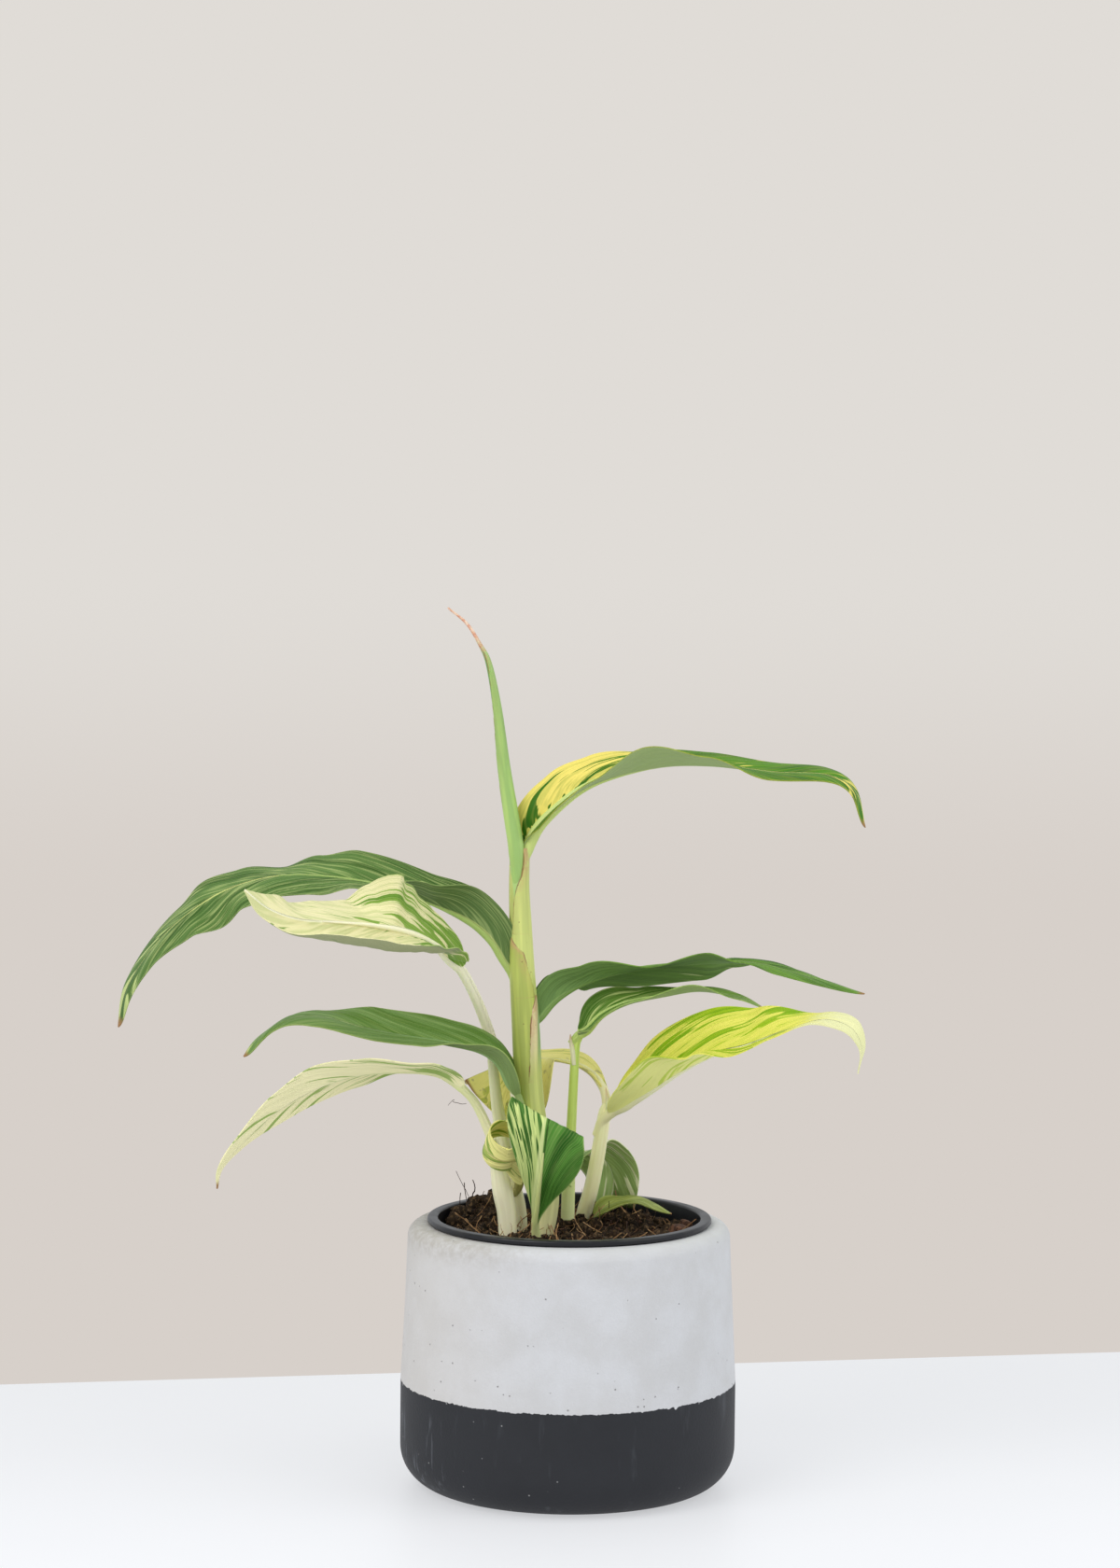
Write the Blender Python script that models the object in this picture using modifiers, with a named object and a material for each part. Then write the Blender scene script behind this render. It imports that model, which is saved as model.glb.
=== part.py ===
"""Potted shell ginger: a two-tone concrete pot, the nursery pot inside it, soil and the young plant.

Lengths below are millimetres and angles are degrees; Blender's own units are metres.
+Z is up, the pot stands on Z = 0 with its axis on X = Y = 0, and the photo looks along +Y.
"""

import math

import bmesh
import bpy
from mathutils import Vector, noise

MM = 0.001
GAP = 0.3
SHARP_ANGLE = 40
PATH_STEPS = 16
TUBE_ROUNDNESS = 3
TUBE_RINGS = 14

# Concrete pot
POT_TOP = 111.3
POT_TOP_RADIUS = 68.0
POT_RADIUS = 70.9
POT_OPENING_RADIUS = 58.0
POT_FLOOR = 12.0
POT_FLOOR_RADIUS = 50.0
POT_FLOOR_EDGE = 4.0
POT_BAND_TOP = 44.9
POT_SHOULDER = 5.5
POT_SHOULDER_STEPS = 5
POT_FOOT = 17.0
POT_FOOT_STEPS = 6
POT_SIDES = 48

# Nursery pot, hung in the concrete pot by its lip
LIP_RADIUS = 60.0
LIP_TOP = 114.0
LIP_WIDTH = 4.6
LIP_EDGE = 0.9
WALL = 1.2
GROW_FLOOR_RADIUS = 43.0
GROW_BOTTOM = 18.0
DRAIN_HOLES = 6
DRAIN_RADIUS = 4.0
DRAIN_CIRCLE = 30.0
DRAIN_SIDES = 16

# Soil: each heap is its centre's x and y, its height and its spread, and each crumb size its
# height and width
SOIL_LEVEL = 105.5
SOIL_RINGS = 8
HEAPS = ((-36, 27, 9.5, 16.0), (6, 14, 3.6, 20.5))
CRUMBS = ((1.3, 8.0), (0.8, 3.5))

# Leaves: under the rib the leaf is thicker by RIB_EXTRA at the root, which fades out sideways,
# and where the leaf is a narrow stalk it is raised, so that the stalk's middle follows the rib
BLADE_THICKNESS = 0.7
RIB_EXTRA = 2.0
RIB_SPREAD = 2.2
RIB_FADE = 1.5
STALK_SPREAD = 4.0
STALK_HALF_WIDTH = 1.9
TIP_HALF_WIDTH = 0.45
LEAF_ROWS = 20
LEAF_COLUMNS = (0.0, 0.22, 0.6, 1.0)

# Each stem: its path from below the soil up, as x, y, z and the radius there
MAIN_STEM = (
    (-12, -10, 84, 4.4), (-12, -10, 104, 4.6), (-10.2, -9, 116, 5.2), (-10, -8, 126, 5.5),
    (-13, -6, 142, 5.9), (-16.4, -5, 159, 6.0), (-18.1, -4, 179, 5.9), (-19, -3, 195, 5.8),
    (-20.3, -2, 214, 5.4), (-21.2, -1, 234, 4.8), (-22.1, 0, 253, 4.3), (-21.9, 0, 270, 4.1),
)
FRONT_LEFT_STEM = (
    (-25.5, -11, 84, 3.8), (-25.8, -11, 106, 3.9), (-26.4, -11, 117, 4.0),
    (-28.3, -11.5, 127, 4.2), (-30.3, -12.5, 138, 3.2),
)
BACK_LEFT_STEM = (
    (-21, 4, 84, 3.6), (-21.3, 4, 106, 3.7), (-22.1, 4, 117, 3.7), (-24.2, 4, 126, 3.6),
    (-26.6, 4, 136, 3.4), (-28.8, 3, 149, 3.0), (-31, 2, 162, 2.5), (-33, 1, 181, 2.1),
)
THIN_STEM = (
    (-0.9, 12, 84, 2.9), (-0.7, 12, 107, 2.9), (-0.4, 12, 125, 2.8), (-0.1, 11, 137, 2.4),
    (0.6, 11, 150, 2.1), (1.6, 10, 173, 1.9), (2.3, 10, 185, 1.8),
)
RIGHT_STEM = (
    (2.5, 20, 84, 3.3), (5.6, 20, 108, 3.3), (9.2, 19, 122, 3.2), (11.9, 18, 136, 3.1),
    (13.7, 17, 148, 2.9), (14.6, 16.5, 155, 2.7),
)
# Where the leaves that rise from the soil stand in it, and where one stands on the right stem
FRONT_LEAF_ROOT = ((-13.4, -20.8, 93.7, 3.8), (-13.6, -20.8, 102, 3.8), (-13.8, -21, 112, 3.8))
SOIL_LEAF_ROOT = ((9.6, 7, 95.7, 3.8), (10.2, 7.6, 103, 3.8), (11.4, 8, 112, 3.8))
YELLOW_LEAF_ROOT = (14.2, 17, 161, 2.8)
SPEAR = (
    (-22.6, -2, 258, 2.9), (-23.4, -2.5, 271, 3.1), (-25.6, -3, 285, 3.0), (-28.6, -3, 304, 2.6),
    (-31.6, -2, 328, 1.9), (-35.3, -1, 347, 1.3), (-39.3, 0, 355.5, 0.8), (-44.8, 0, 364, 0.6),
    (-52.7, 0, 370.5, 0.4),
)

# Each leaf: "rib" runs from the root of the stalk to the tip, as x, y, z. "blade" is the share
# of that length where the blade starts, and "half" the widest half's width. "pose" tells how the
# two halves stand out from the rib at a share of its length: the near half's angle at the rib and
# at its edge, then the far half's. 0 points at the camera, 90 to the face's side, 180 away.
LEAVES = {
    "upper_right_leaf": {
        "rib": ((-21.8, 0, 262), (-18.4, 0, 272), (-11, -2, 283), (7.3, -4, 297), (34, -6, 304.5),
                (57, -8, 305.5), (84, -9, 302.5), (106, -9, 301.5), (117.6, -9, 295), (122, -9, 280)),
        "blade": 0.02, "half": 16.0, "side": 1, "outline": (0.4, 0.42),
        "pose": ((0, 40, 60, 110, 95), (0.12, -10, 0, 96, 116), (0.2, -8, 8, 112, 132),
                 (0.28, -5, 15, 130, 148), (0.42, 25, 45, 150, 170), (0.55, 15, 15, 150, 178),
                 (0.7, -3, -20, 155, 176), (0.85, 0, -28, 150, 180), (1, -20, -40, 170, 190)),
    },
    "upper_left_leaf": {
        "rib": ((-23.5, 0, 209), (-27.8, -1, 222), (-37, -3, 235), (-55.7, -5, 246), (-83, -7, 254.5),
                (-118, -9, 258), (-145.4, -9, 251), (-169, -8, 233.6), (-185, -6, 211.6),
                (-189.6, -5, 193.4)),
        "blade": 0.05, "half": 17.0, "side": -1, "outline": (0.42, 0.42),
        "pose": ((0, 60, 85, 120, 100), (0.16, 75, 95, 112, 122), (0.27, 20, 40, 133, 152),
                 (0.4, -5, -5, 130, 145), (0.47, -16, -28, 148, 162), (0.54, -18, -33, 162, 184),
                 (0.62, -22, -46, 156, 166), (0.69, -46, -76, 143, 160), (0.75, -24, -50, 155, 170),
                 (0.85, -10, -40, 155, 175), (1, -20, -40, 160, 170)),
    },
    "middle_right_leaf": {
        "rib": ((-16.2, -2, 190), (-13.2, 0, 197.5), (-7.7, 2, 204.4), (1.3, 3, 210.7), (15, 5, 215.7),
                (35, 7, 219.2), (58.5, 9, 220.7), (78, 10, 220.4), (98, 10, 215.3), (124.4, 10, 207.6)),
        "blade": 0.04, "half": 14.0, "side": 1, "outline": (0.4, 0.42),
        "pose": ((0, 60, 85, 120, 100), (0.13, 60, 80, 104, 120), (0.22, 30, 47, 158, 258),
                 (0.4, 0, 10, 178, 285), (0.55, 20, 25, 174, 285), (0.64, -3, 12, 150, 250),
                 (0.75, -5, -15, 160, 190), (1, -10, -20, 180, 190)),
    },
    "middle_left_leaf": {
        "rib": ((-18, -9, 150), (-24.2, -12, 168), (-29.4, -13, 179.4), (-37.6, -13, 185.6),
                (-55, -13, 189), (-71, -13, 191.3), (-86.5, -12, 194.2), (-104, -11, 198.7),
                (-118, -10, 197.7), (-129.7, -9, 190), (-136.8, -8, 181.5)),
        "blade": 0.12, "half": 14.0, "side": -1, "outline": (0.42, 0.45),
        "pose": ((0, 40, 60, 150, 130), (0.22, 22, 38, 150, 152), (0.34, 10, 10, 134, 152),
                 (0.45, 0, -10, 135, 145), (0.6, 0, -20, 135, 150), (0.75, 0, -30, 166, 183),
                 (0.88, 12, -28, 170, 198), (1, -20, -40, 160, 180)),
    },
    "low_left_leaf": {
        "rib": ((-30.5, -12.8, 139.1), (-35, -10.9, 150.4), (-40, -11.2, 161.2), (-47.8, -14, 171.2),
                (-58.6, -17, 177.1), (-81.7, -23, 177.5), (-100.8, -27, 173.2), (-119.2, -30, 163.6),
                (-135.6, -32, 149), (-144, -32, 138.2), (-145.6, -32, 129.9)),
        "blade": 0.22, "half": 14.0, "side": -1,
        "pose": ((0, 50, 80, 130, 100), (0.22, 50, 60, 150, 150), (0.3, 24, 30, 165, 200),
                 (0.38, 20, 20, 160, 230), (0.5, 27, 36, 186, 236), (0.62, 40, 50, 192, 236),
                 (0.72, 33, 40, 195, 235), (0.88, 30, 20, 190, 210),
                 (1, 20, 20, 180, 190)),
    },
    "folded_left_leaf": {
        "rib": ((-33.05, 1, 181.6), (-36, 0, 192.7), (-41.2, -5.5, 207.4), (-46.2, -12, 218),
                (-51, -19, 225), (-56, -28, 231), (-66, -42, 237.8), (-80.6, -57, 242.2),
                (-95, -70, 244.6), (-109.3, -82, 246.8), (-121, -91, 252), (-130, -97.5, 260)),
        "blade": 0.26, "half": 22.5, "side": -1, "outline": (0.42, 0.7),
        "pose": ((0, 50, 80, 130, 100), (0.26, 60, 80, 110, 90), (0.34, 10, 50, 146, 146),
                 (0.42, -20, 60, 146, 142), (0.48, -50, 58, 132, 126), (0.535, -70, 58, 110, 104),
                 (0.565, -80, 60, 142, 148), (0.6, -85, 60, 162, 170), (0.8, -85, 56, 160, 166),
                 (0.9, -82, 20, 146, 150), (1, -60, -40, 150, 150)),
    },
    "streaked_right_leaf": {
        "rib": ((3, 10, 186.3), (6.9, 8.7, 191.4), (13.2, 5, 198.9), (24, 1.4, 204.4), (39, -0.6, 207.6),
                (54.6, -1.5, 209.8), (70.4, -1.5, 206.8), (80.3, -1.5, 202.9)),
        "blade": 0.05, "half": 12.0, "side": 1, "outline": (0.4, 0.46),
        "pose": ((0, 40, 60, 140, 125), (0.15, -8, 0, 122, 124), (0.4, 5, 5, 163, 165),
                 (0.65, 20, 20, 172, 185), (0.85, 0, 0, 170, 170), (1, 0, 0, 170, 170)),
    },
    "bright_leaf": {
        "rib": ((13.8, 17, 147), (16, 15, 153), (22.5, 10, 159), (34, 2, 167.5), (47, -8, 177.3),
                (60, -17, 185), (73, -27, 190), (88, -38, 197.5), (102.5, -48, 203.5),
                (113.2, -55, 201.5), (117.6, -57, 194), (116.4, -58, 183.5)),
        "blade": 0.07, "half": 20.0, "side": 1,
        "pose": ((0, 30, 45, 150, 135), (0.15, 32, 50, 122, 130), (0.3, 42, 50, 116, 120),
                 (0.45, 22, 10, 120, 126), (0.58, 8, 0, 138, 152), (0.75, 12, 2, 168, 192),
                 (0.9, -20, -20, 145, 160), (1, 0, 0, 170, 170)),
    },
    "yellow_back_leaf": {
        "rib": ((14.5, 16.7, 156.35), (13.5, 19.5, 164), (9.5, 24, 171), (1, 27, 175), (-12, 26, 176.6),
                (-27, 22.5, 175), (-38, 19, 171.2), (-44.5, 17, 168.5)),
        "blade": 0.04, "half": 27.5, "side": -1, "outline": (0.74, 1.6),
        "pose": ((0, -40, -60, 150, 150), (0.3, 5, 0, 160, 160), (0.51, 10, 5, 174, 180),
                 (0.58, -82, -92, 178, 184), (0.75, -80, -92, 185, 195), (1, -60, -70, 190, 200)),
    },
    "front_leaf": {
        "rib": ((-13.4, -19.5, 94), (-13.7, -19.5, 108), (-14.3, -22, 115), (-13.3, -26, 124),
                (-12, -33, 136.5), (-10.8, -37, 148), (-9.8, -38, 156.5), (-9, -36, 160),
                (-8.7, -32.5, 158), (-8.8, -30, 152.5)),
        "blade": 0.2, "half": 16.0, "side": -1, "near": (-1.0, 0.0, 0.0), "outline": (0.75, 1.9),
        "skew": 0.5,
        "pose": ((0, 30, 60, 150, 120), (0.25, 20, 20, 160, 160), (0.5, 5, 0, 180, 190),
                 (0.7, 0, 0, 180, 190), (1, 0, 0, 180, 180)),
    },
    "back_leaf": {
        "rib": ((-0.3, 12.5, 125), (1, 17.5, 131), (4, 25.5, 135), (9, 31.5, 136), (14.5, 34.5, 133),
                (18.5, 36, 126), (19.5, 37, 115), (20, 40, 111), (20, 45, 110.3)),
        "blade": 0.12, "half": 12.2, "side": -1, "near": (-1.0, 0.0, 0.0), "outline": (0.6, 0.8),
        "pose": ((0, 30, 60, 150, 120), (0.3, -45, -60, 150, 150), (0.6, -25, -35, 192, 200),
                 (0.8, -40, -45, 205, 208), (1, 0, 0, 180, 180)),
    },
    "soil_leaf": {
        "rib": ((11, 7, 96), (12, 8, 109), (14.3, 8, 114), (20.6, 9, 117.2), (28.6, 10, 118.3),
                (36.6, 11, 116), (43.4, 12, 112.5)),
        "blade": 0.32, "half": 7.0, "side": 1,
        "pose": ((0, 50, 80, 130, 100), (0.35, -5, -10, 120, 120), (0.6, 12, -8, 160, 180),
                 (1, -20, -30, 170, 190)),
    },
}

# The curled leaf: its stalk from the back left stem, then a loop about a slanted axis
CURL_STALK = ((-24.5, 3.5, 123.5), (-20.5, -3.2, 130), (-18.4, -11.5, 133.5), (-18.4, -19.5, 136.5))
CURL_CENTRE = Vector((-27.2, -23.2, 148.8))
CURL_RADIUS = 9.6
CURL_INNER_RADIUS = 6.4
CURL_AXIS = Vector((0.2, -0.72, 0.66)).normalized()
CURL_HALF_WIDTH = 8.4
CURL_START = -55.0
CURL_END = -345.0
CURL_STEPS = 9


def clear_scene():
    for obj in list(bpy.data.objects):
        bpy.data.objects.remove(obj, do_unlink=True)


def new_collection(name):
    collection = bpy.data.collections.new(name)
    bpy.context.scene.collection.children.link(collection)
    return collection


def new_material(name, colour, roughness):
    material = bpy.data.materials.new(name)
    material.use_nodes = True
    shader = material.node_tree.nodes["Principled BSDF"]
    shader.inputs["Base Color"].default_value = (*colour, 1.0)
    shader.inputs["Roughness"].default_value = roughness
    shader.inputs["Metallic"].default_value = 0.0
    material.diffuse_color = (*colour, 1.0)
    return material


def place(mesh, name, materials, collection):
    for material in materials:
        mesh.materials.append(material)
    obj = bpy.data.objects.new(name, mesh)
    collection.objects.link(obj)
    return obj


def as_mesh(obj, name, merge=0.00005):
    """The object's evaluated shape as a plain mesh, with its coinciding points made one."""
    bpy.context.view_layer.update()
    graph = bpy.context.evaluated_depsgraph_get()
    mesh = bpy.data.meshes.new_from_object(obj.evaluated_get(graph))
    mesh.name = name
    edit = bmesh.new()
    edit.from_mesh(mesh)
    bmesh.ops.remove_doubles(edit, verts=edit.verts, dist=merge)
    bmesh.ops.recalc_face_normals(edit, faces=edit.faces)
    edit.to_mesh(mesh)
    edit.free()
    bpy.data.objects.remove(obj, do_unlink=True)
    return mesh


def arc(centre, radius, start, end, steps):
    """Points of an arc in the X-Z plane."""
    angles = [math.radians(start + (end - start) * i / steps) for i in range(steps + 1)]
    return [(centre[0] + radius * math.cos(a), centre[1] + radius * math.sin(a)) for a in angles]


def turned(name, profile, sides):
    """The solid that a profile of radius and height sweeps about the Z axis."""
    mesh = bpy.data.meshes.new(name)
    points = [(radius * MM, 0.0, height * MM) for radius, height in profile]
    mesh.from_pydata(points, [(i, i + 1) for i in range(len(points) - 1)], [])
    obj = place(mesh, name + "_turned", [], HELPERS)
    screw = obj.modifiers.new("Screw", "SCREW")
    screw.axis = "Z"
    screw.angle = math.tau
    screw.steps = sides
    screw.render_steps = sides
    screw.use_merge_vertices = True
    screw.merge_threshold = 0.00005
    return as_mesh(obj, name)


def smooth_path(points, count):
    """Evenly spaced points on a Catmull-Rom curve through the given ones, with the same columns."""
    ends = [tuple(2 * a - b for a, b in zip(points[0], points[1]))]
    ends.append(tuple(2 * a - b for a, b in zip(points[-1], points[-2])))
    knots = [ends[0], *points, ends[1]]
    fine = []
    for p0, p1, p2, p3 in zip(knots, knots[1:], knots[2:], knots[3:]):
        for step in range(PATH_STEPS):
            t = step / PATH_STEPS
            fine.append([
                0.5 * (2 * b + (c - a) * t + (2 * a - 5 * b + 4 * c - d) * t * t
                       + (3 * b - a - 3 * c + d) * t ** 3)
                for a, b, c, d in zip(p0, p1, p2, p3)
            ])
    fine.append(list(points[-1]))
    lengths = [0.0]
    for a, b in zip(fine, fine[1:]):
        lengths.append(lengths[-1] + math.dist(a[:3], b[:3]))
    path = []
    place_in = 0
    for i in range(count):
        wanted = lengths[-1] * i / (count - 1)
        while place_in < len(fine) - 2 and lengths[place_in + 1] < wanted:
            place_in += 1
        span = lengths[place_in + 1] - lengths[place_in]
        t = (wanted - lengths[place_in]) / span
        path.append([a + (b - a) * t for a, b in zip(fine[place_in], fine[place_in + 1])])
    return path


def tube_mesh(name, stations, grow=0.0, stretch=0.0):
    """A round stem through x, y, z, radius stations, thicker by grow and longer by stretch."""
    curve = bpy.data.curves.new(name, "CURVE")
    curve.dimensions = "3D"
    curve.bevel_depth = MM
    curve.bevel_resolution = TUBE_ROUNDNESS
    curve.use_fill_caps = True
    path = smooth_path(stations, TUBE_RINGS)
    for end, inner in ((0, 1), (-1, -2)):
        way = Vector(path[end][:3]) - Vector(path[inner][:3])
        moved = Vector(path[end][:3]) + way.normalized() * stretch
        path[end][:3] = moved
    spline = curve.splines.new("POLY")
    spline.points.add(len(path) - 1)
    for point, (x, y, z, radius) in zip(spline.points, path):
        point.co = (x * MM, y * MM, z * MM, 1.0)
        point.radius = radius + grow
    return as_mesh(place(curve, name + "_curve", [], HELPERS), name)


def cut(obj, cutter_mesh, name):
    """Takes the cutter's shape out of the object, and leaves the result as a plain mesh."""
    cutter = place(cutter_mesh, name, [], HELPERS)
    cutter.hide_render = True
    cutter.display_type = "WIRE"
    boolean = obj.modifiers.new(name, "BOOLEAN")
    boolean.operation = "DIFFERENCE"
    boolean.solver = "EXACT"
    boolean.use_self = True
    boolean.object = cutter
    bpy.context.view_layer.update()
    graph = bpy.context.evaluated_depsgraph_get()
    mesh = bpy.data.meshes.new_from_object(obj.evaluated_get(graph))
    obj.modifiers.clear()
    obj.data = mesh
    bpy.data.objects.remove(cutter, do_unlink=True)


def keep_largest(obj):
    """Drops the offcuts that a cut leaves on the far side of a stem."""
    edit = bmesh.new()
    edit.from_mesh(obj.data)
    unseen = set(edit.faces)
    islands = []
    while unseen:
        front = [unseen.pop()]
        island = []
        while front:
            face = front.pop()
            island.append(face)
            for edge in face.edges:
                others = [other for other in edge.link_faces if other is not face]
                if len(others) == 1 and others[0] in unseen:
                    unseen.remove(others[0])
                    front.append(others[0])
        islands.append(island)
    islands.sort(key=len)
    for island in islands[:-1]:
        bmesh.ops.delete(edit, geom=island, context="FACES")
    edit.to_mesh(obj.data)
    edit.free()


def concrete_pot():
    shoulder_centre = (POT_TOP_RADIUS - POT_SHOULDER, POT_TOP - POT_SHOULDER)
    shoulder = arc(shoulder_centre, POT_SHOULDER, 90, 0, POT_SHOULDER_STEPS)
    foot = arc((POT_RADIUS - POT_FOOT, POT_FOOT), POT_FOOT, 0, -90, POT_FOOT_STEPS)
    inner = [(0, POT_FLOOR), (POT_FLOOR_RADIUS, POT_FLOOR),
             (POT_FLOOR_RADIUS + POT_FLOOR_EDGE, POT_FLOOR + POT_FLOOR_EDGE),
             (POT_OPENING_RADIUS, POT_TOP)]
    band = [(POT_RADIUS, POT_BAND_TOP)]
    mesh = turned("concrete_pot", inner + shoulder + band + foot + [(0, 0)], POT_SIDES)
    pot = place(mesh, "concrete_pot", [CONCRETE, CHARCOAL], PARTS)
    for polygon in mesh.polygons:
        radius = math.hypot(polygon.center.x, polygon.center.y) / MM
        outside = radius > POT_OPENING_RADIUS or polygon.center.z < POT_FLOOR / 2 * MM
        polygon.material_index = int(outside and polygon.center.z < POT_BAND_TOP * MM)
    return pot


def grow_radius(height):
    """Inner radius of the nursery pot at a height."""
    top = LIP_RADIUS - LIP_WIDTH
    share = (height - GROW_BOTTOM) / (LIP_TOP - GROW_BOTTOM)
    return GROW_FLOOR_RADIUS + (top - GROW_FLOOR_RADIUS) * share


def grow_pot():
    floor = GROW_BOTTOM + WALL
    lip_bottom = POT_TOP + GAP
    lip_inside = LIP_RADIUS - LIP_WIDTH
    profile = [(0, floor), (grow_radius(floor), floor), (lip_inside, LIP_TOP - LIP_EDGE),
               (lip_inside + LIP_EDGE, LIP_TOP), (LIP_RADIUS - LIP_EDGE, LIP_TOP),
               (LIP_RADIUS, LIP_TOP - LIP_EDGE), (LIP_RADIUS, lip_bottom),
               (grow_radius(lip_bottom) + WALL, lip_bottom),
               (GROW_FLOOR_RADIUS + WALL, GROW_BOTTOM), (0, GROW_BOTTOM)]
    pot = place(turned("grow_pot", profile, POT_SIDES), "grow_pot", [BLACK_PLASTIC], PARTS)
    edit = bmesh.new()
    for hole in range(DRAIN_HOLES):
        made = bmesh.ops.create_cone(edit, cap_ends=True, segments=DRAIN_SIDES,
                                     radius1=DRAIN_RADIUS * MM, radius2=DRAIN_RADIUS * MM,
                                     depth=4 * WALL * MM)
        turn = math.tau * hole / DRAIN_HOLES
        centre = (DRAIN_CIRCLE * math.cos(turn), DRAIN_CIRCLE * math.sin(turn), GROW_BOTTOM + WALL / 2)
        bmesh.ops.translate(edit, verts=made["verts"], vec=Vector(centre) * MM)
    holes = bpy.data.meshes.new("drain_holes")
    edit.to_mesh(holes)
    edit.free()
    cut(pot, holes, "drain_holes")
    return pot


def soil_height(x, y):
    """Top of the soil: heaped at the back left, raised round the stems, crumbly all over."""
    top = SOIL_LEVEL
    for heap_x, heap_y, height, spread in HEAPS:
        away = math.hypot(x - heap_x, y - heap_y)
        top += height * math.exp(-(away / spread) ** 2)
    for height, width in CRUMBS:
        top += height * noise.noise(Vector((x, y, width)) / width)
    return top


def soil():
    edge = grow_radius(SOIL_LEVEL) - GAP
    floor = GROW_BOTTOM + WALL + GAP
    top = [(edge * ring / SOIL_RINGS, SOIL_LEVEL) for ring in range(SOIL_RINGS + 1)]
    mesh = turned("soil", top + [(grow_radius(floor) - GAP, floor), (0, floor)], POT_SIDES)
    middle = (SOIL_LEVEL + floor) / 2
    for vertex in mesh.vertices:
        x, y, z = vertex.co / MM
        if z > middle and math.hypot(x, y) < edge - GAP:
            vertex.co.z = soil_height(x, y) * MM
    return place(mesh, "soil", [PEAT], PARTS)


def outline(share, peak=0.38, rise=0.55):
    """The blade's half width, as a share of the widest, at a share of its length."""
    if not 0 < share < 1:
        return 0.0
    fall = rise * (1 - peak) / peak
    return (share / peak) ** rise * ((1 - share) / (1 - peak)) ** fall


def between(rows, share):
    """The pose at a share of the rib's length, eased between the rows."""
    for first, second in zip(rows, rows[1:]):
        if share <= second[0]:
            t = (share - first[0]) / (second[0] - first[0])
            t = t * t * (3 - 2 * t)
            return [a + (b - a) * t for a, b in zip(first[1:], second[1:])]
    return list(rows[-1][1:])


def side_vector(root, edge, share, reach):
    """How far the blade has run from the rib at a share of its half, as it turns from root to edge."""
    bend = math.radians(edge - root) * share / 2
    turn = math.radians(root) + bend
    chord = reach * share * (math.sin(bend) / bend if bend else 1.0)
    return Vector((math.cos(turn), math.sin(turn))) * chord


def leaf_points(leaf, rows, columns):
    """The blade's upper face as rows of points, with the rib's thickness beside each."""
    path = smooth_path(leaf["rib"], rows + 1)
    near_from = Vector(leaf.get("near", (0.0, -1.0, 0.0)))
    grid = []
    for row, here in enumerate(path):
        share = row / rows
        ahead = Vector(path[min(row + 1, rows)]) - Vector(path[max(row - 1, 0)])
        ahead.normalize()
        near = (near_from - ahead * near_from.dot(ahead)).normalized()
        face = near.cross(ahead) * leaf["side"]
        blade = (share - leaf["blade"]) / (1 - leaf["blade"])
        half = leaf["half"] * outline(blade, *leaf.get("outline", ()))
        reach = math.hypot(half, STALK_HALF_WIDTH * (1 - share) + TIP_HALF_WIDTH)
        extra = RIB_EXTRA * (1 - share) ** RIB_FADE
        raised = face * (BLADE_THICKNESS + extra * math.exp(-(reach / STALK_SPREAD) ** 2))
        near_root, near_edge, far_root, far_edge = between(leaf["pose"], share)
        line = []
        for column in [-c for c in columns[:0:-1]] + list(columns):
            root, edge = (near_root, near_edge) if column < 0 else (far_root, far_edge)
            along, up = side_vector(root, edge, abs(column), reach)
            spot = Vector(here) + near * along + face * up + raised
            spot.z -= leaf.get("skew", 0.0) * column * half
            body = math.exp(-(column * reach / RIB_SPREAD) ** 2)
            line.append((spot, BLADE_THICKNESS + extra * body))
        grid.append(line)
    return grid


def curled_leaf():
    """The leaf that has rolled itself into a loop, with its rib worked out from the loop."""
    right = (Vector((1, 0, 0)) - CURL_AXIS * CURL_AXIS.x).normalized()
    up = CURL_AXIS.cross(right)
    rib = list(CURL_STALK)
    for step in range(CURL_STEPS + 1):
        share = step / CURL_STEPS
        turn = math.radians(CURL_START + (CURL_END - CURL_START) * share)
        radius = CURL_RADIUS + (CURL_INNER_RADIUS - CURL_RADIUS) * share
        rib.append(tuple(CURL_CENTRE + radius * (right * math.cos(turn) + up * math.sin(turn))))
    return {
        "rib": rib, "blade": 0.22, "half": CURL_HALF_WIDTH, "side": -1, "near": tuple(CURL_AXIS),
        "outline": (0.45, 0.4), "pose": ((0, 0, 0, 180, 180), (1, 0, 0, 180, 180)),
    }


def leaf(name, shape, material):
    """One leaf: a flat grid moved to the blade's shape, then thickened, most along the rib."""
    grid = leaf_points(shape, LEAF_ROWS, LEAF_COLUMNS)
    across = len(grid[0])
    edit = bmesh.new()
    bmesh.ops.create_grid(edit, x_segments=across - 1, y_segments=len(grid) - 1, size=1.0)
    edit.verts.ensure_lookup_table()
    for index, vertex in enumerate(edit.verts):
        vertex.co = grid[index // across][index % across][0] * MM
    bmesh.ops.triangulate(edit, faces=edit.faces)
    mesh = bpy.data.meshes.new(name)
    edit.to_mesh(mesh)
    edit.free()
    obj = place(mesh, name, [material], PARTS)
    rib = obj.vertex_groups.new(name="rib")
    thickest = max(spot[1] for line in grid for spot in line)
    for index in range(len(mesh.vertices)):
        thick = grid[index // across][index % across][1]
        rib.add([index], (thick - BLADE_THICKNESS) / (thickest - BLADE_THICKNESS), "REPLACE")
    solidify = obj.modifiers.new("Solidify", "SOLIDIFY")
    solidify.thickness = thickest * MM
    solidify.offset = shape["side"]
    solidify.vertex_group = "rib"
    solidify.thickness_vertex_group = BLADE_THICKNESS / thickest
    return obj


def clear_by(obj, stem):
    """Cuts the object clear of a stem, which is widened by the gap that touching nodes keep."""
    cut(obj, tube_mesh("clearance", stem, GAP, stretch=GAP), "clearance")
    keep_largest(obj)


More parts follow.
